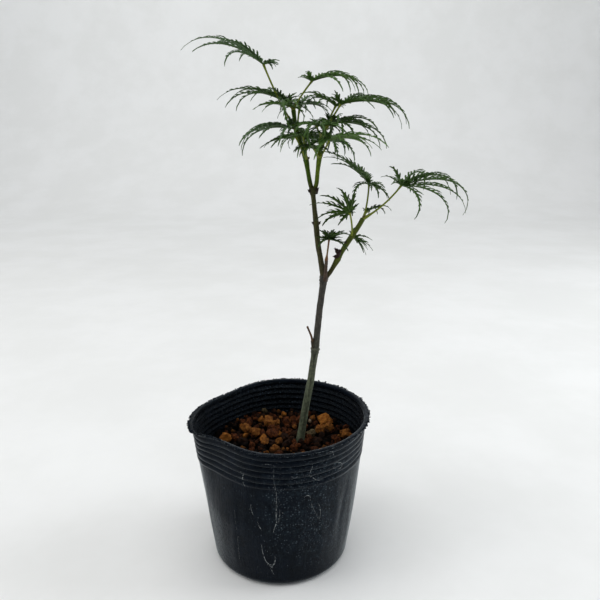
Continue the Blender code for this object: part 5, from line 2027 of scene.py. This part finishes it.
    def _stalk(self, skin: Skin, leaf: Leaf) -> None:
        """Bow a stalk from its shoot to its leaf, thicker at both ends."""
        foot, base = Vector(leaf.node), Vector(leaf.base)
        bend = (foot + base) / 2 + Vector(leaf.bow)
        path, radii = [], []
        for i in range(self.stalk_rows + 1):
            t = i / self.stalk_rows
            path.append(foot * (1 - t) ** 2 + bend * 2 * t * (1 - t) + base * t * t)
            radii.append(self.stalk_radius * (0.94 + 0.95 * hump(t, 0.16) + 0.42 * hump(1 - t, 0.06)))
        skin.tube(path, radii, self.stalk_sides)


# ---- studio
@dataclass
class Studio:
    """Pale floor with a coved backdrop, soft lights and the camera."""

    floor_half: float = 2.2
    wall_height: float = 2.6
    cove: float = 0.7
    sensor: float = 36
    frame_pixels: float = 600
    focal_pixels: float = 617
    eye: Spot = (0.0118, -0.335, 0.246)
    look_down: float = 14.9
    world_colour: Colour = (0.93, 0.96, 1, 1)
    world_strength: float = 0.4
    tone_curve: str = "Standard"
    # name, place, the point it faces, width, height, watts and colour
    lights: tuple[tuple[str, Spot, Spot, float, float, float, Spot], ...] = (
        ("overhead", (-0.22, -0.1, 2.3), (0, 0.04, 0), 2.4, 2.4, 30, (1, 0.99, 0.97)),
        ("left_soft", (-1.35, -0.35, 0.85), (0, 0, 0.15), 0.9, 1.2, 7, (1, 0.99, 0.97)),
        ("right_soft", (1.25, 0.15, 0.6), (0, 0, 0.1), 0.7, 1, 8.5, (0.95, 0.98, 1)),
        ("wall_wash", (0, 0.9, 1.9), (0, 2.2, 1.9), 2.4, 0.6, 12, (0.97, 0.99, 1)),
    )

    def build(self) -> None:
        """Set up floor, light and camera."""
        self._backdrop()
        for name, spot, aim, wide, tall, power, colour in self.lights:
            self._light(name, Vector(spot), Vector(aim), (wide, tall), power, colour)
        world = bpy.data.worlds.new("soft_room")
        world.use_nodes = True
        sky = world.node_tree.nodes["Background"]
        sky.inputs["Color"].default_value = self.world_colour
        sky.inputs["Strength"].default_value = self.world_strength
        bpy.context.scene.world = world
        bpy.context.scene.view_settings.view_transform = self.tone_curve
        self._camera()

    def _backdrop(self) -> None:
        """Raise the far edge of a floor sheet and round its corner into a cove."""
        start_piece()
        bpy.ops.mesh.primitive_plane_add(size=2 * self.floor_half)
        floor = bpy.context.object
        floor.name = "studio_floor"
        begin_edit()
        bpy.ops.mesh.select_all(action="DESELECT")
        bpy.ops.mesh.select_mode(type="EDGE")
        self._pick_rear(floor)
        bpy.ops.mesh.extrude_region_move(TRANSFORM_OT_translate={"value": (0, 0, self.wall_height)})
        self._pick_rear(floor)
        bpy.ops.mesh.bevel(offset=self.cove, segments=24, affect="EDGES")
        bpy.ops.object.mode_set(mode="OBJECT")
        smooth_shaded(floor)
        dress(floor, CoatFinish("studio_floor", (0.78, 0.785, 0.775, 1), (0.82, 0.825, 0.82, 1), 0.006,
                                (0.75, 0.9), 0.05, 0.2).material())

    @staticmethod
    def _pick_rear(floor: Piece) -> None:
        """Select the floor's rear edge alone, in edit mode."""
        bpy.ops.object.mode_set(mode="OBJECT")
        for edge in floor.data.edges:
            ends = [floor.data.vertices[i].co for i in edge.vertices]
            edge.select = all(e.y > 0 and e.z < 0.001 for e in ends)
        bpy.ops.object.mode_set(mode="EDIT")

    @staticmethod
    def _light(name: str, spot: Vector, aim: Vector, size: Span, power: float,
               colour: Spot) -> None:
        """Hang one soft light.

        Args:
            name: its name.
            spot: where it hangs.
            aim: the point that it faces.
            size: its width and height.
            power: its watts.
            colour: its colour.
        """
        turn = (aim - spot).to_track_quat("-Z", "Y").to_euler()
        bpy.ops.object.light_add(type="AREA", location=spot, rotation=turn)
        lamp = bpy.context.object
        lamp.name = name
        lamp.data.shape = "RECTANGLE"
        lamp.data.size, lamp.data.size_y = size
        lamp.data.energy = power
        lamp.data.color = colour

    def _camera(self) -> None:
        """Place the camera at the viewing angle."""
        tilt = radians(90 - self.look_down)
        bpy.ops.object.camera_add(location=self.eye, rotation=(tilt, 0, 0))
        camera = bpy.context.object
        camera.name = "viewer"
        camera.data.sensor_width = self.sensor
        camera.data.lens = self.focal_pixels * self.sensor / self.frame_pixels
        camera.data.clip_start = 0.01
        bpy.context.scene.camera = camera


# ---- main
def dress_pot(pot: NurseryPot) -> None:
    """Build the pot with its marks and hand it over."""
    body = pot.build()
    lime, dust, burrs = PotMarks(pot).build()
    # this lime colour also covers the painted crease highlight
    dress(lime, CoatFinish("dried_lime_and_highlight", (0.05, 0.058, 0.062, 1), (0.27, 0.29, 0.29, 1)).material())
    dress(dust, CoatFinish("dried_dust", (0.012, 0.017, 0.022, 1), (0.062, 0.078, 0.092, 1)).material())
    dress(burrs, body.data.materials[0])
    for piece in (body, lime, dust, burrs):
        hand_over(piece, POT, ["pot"])


def dress_mix(pot: NurseryPot) -> None:
    """Build the potting mix and hand it over."""
    clays = {
        RUST: ((0.032, 0.008, 0.003, 1), (0.14, 0.043, 0.011, 1)),
        OCHRE: ((0.14, 0.046, 0.009, 1), (0.3, 0.126, 0.027, 1)),
        UMBER: ((0.009, 0.004, 0.0025, 1), (0.042, 0.017, 0.008, 1)),
        AMBER: ((0.24, 0.076, 0.011, 1), (0.44, 0.185, 0.034, 1)),
        STONE: ((0.09, 0.068, 0.034, 1), (0.18, 0.142, 0.078, 1)),
    }
    bed, granules = PottingMix(pot).build()
    # the fines are dark, and lying below the damp band they turn near black: painted shade in the gaps
    # between the granules
    dress(bed, ClayFinish("fines", (0.005, 0.0025, 0.002, 1), (0.018, 0.008, 0.005, 1)).material())
    hand_over(bed, MIX, ["potting_mix"])
    for grain, piece in granules.items():
        present(piece, 28, MIX, ["potting_mix"],
                ClayFinish(grain.value, *clays[grain]).material())


def main() -> None:
    """Build the sapling, its pot and the studio, in order."""
    logging.basicConfig(level=logging.INFO, format="%(name)s: %(message)s")
    pot = NurseryPot()
    dress_pot(pot)
    dress_mix(pot)
    Wood().build()
    Foliage().build()
    Studio().build()


if __name__ == "__main__":
    main()
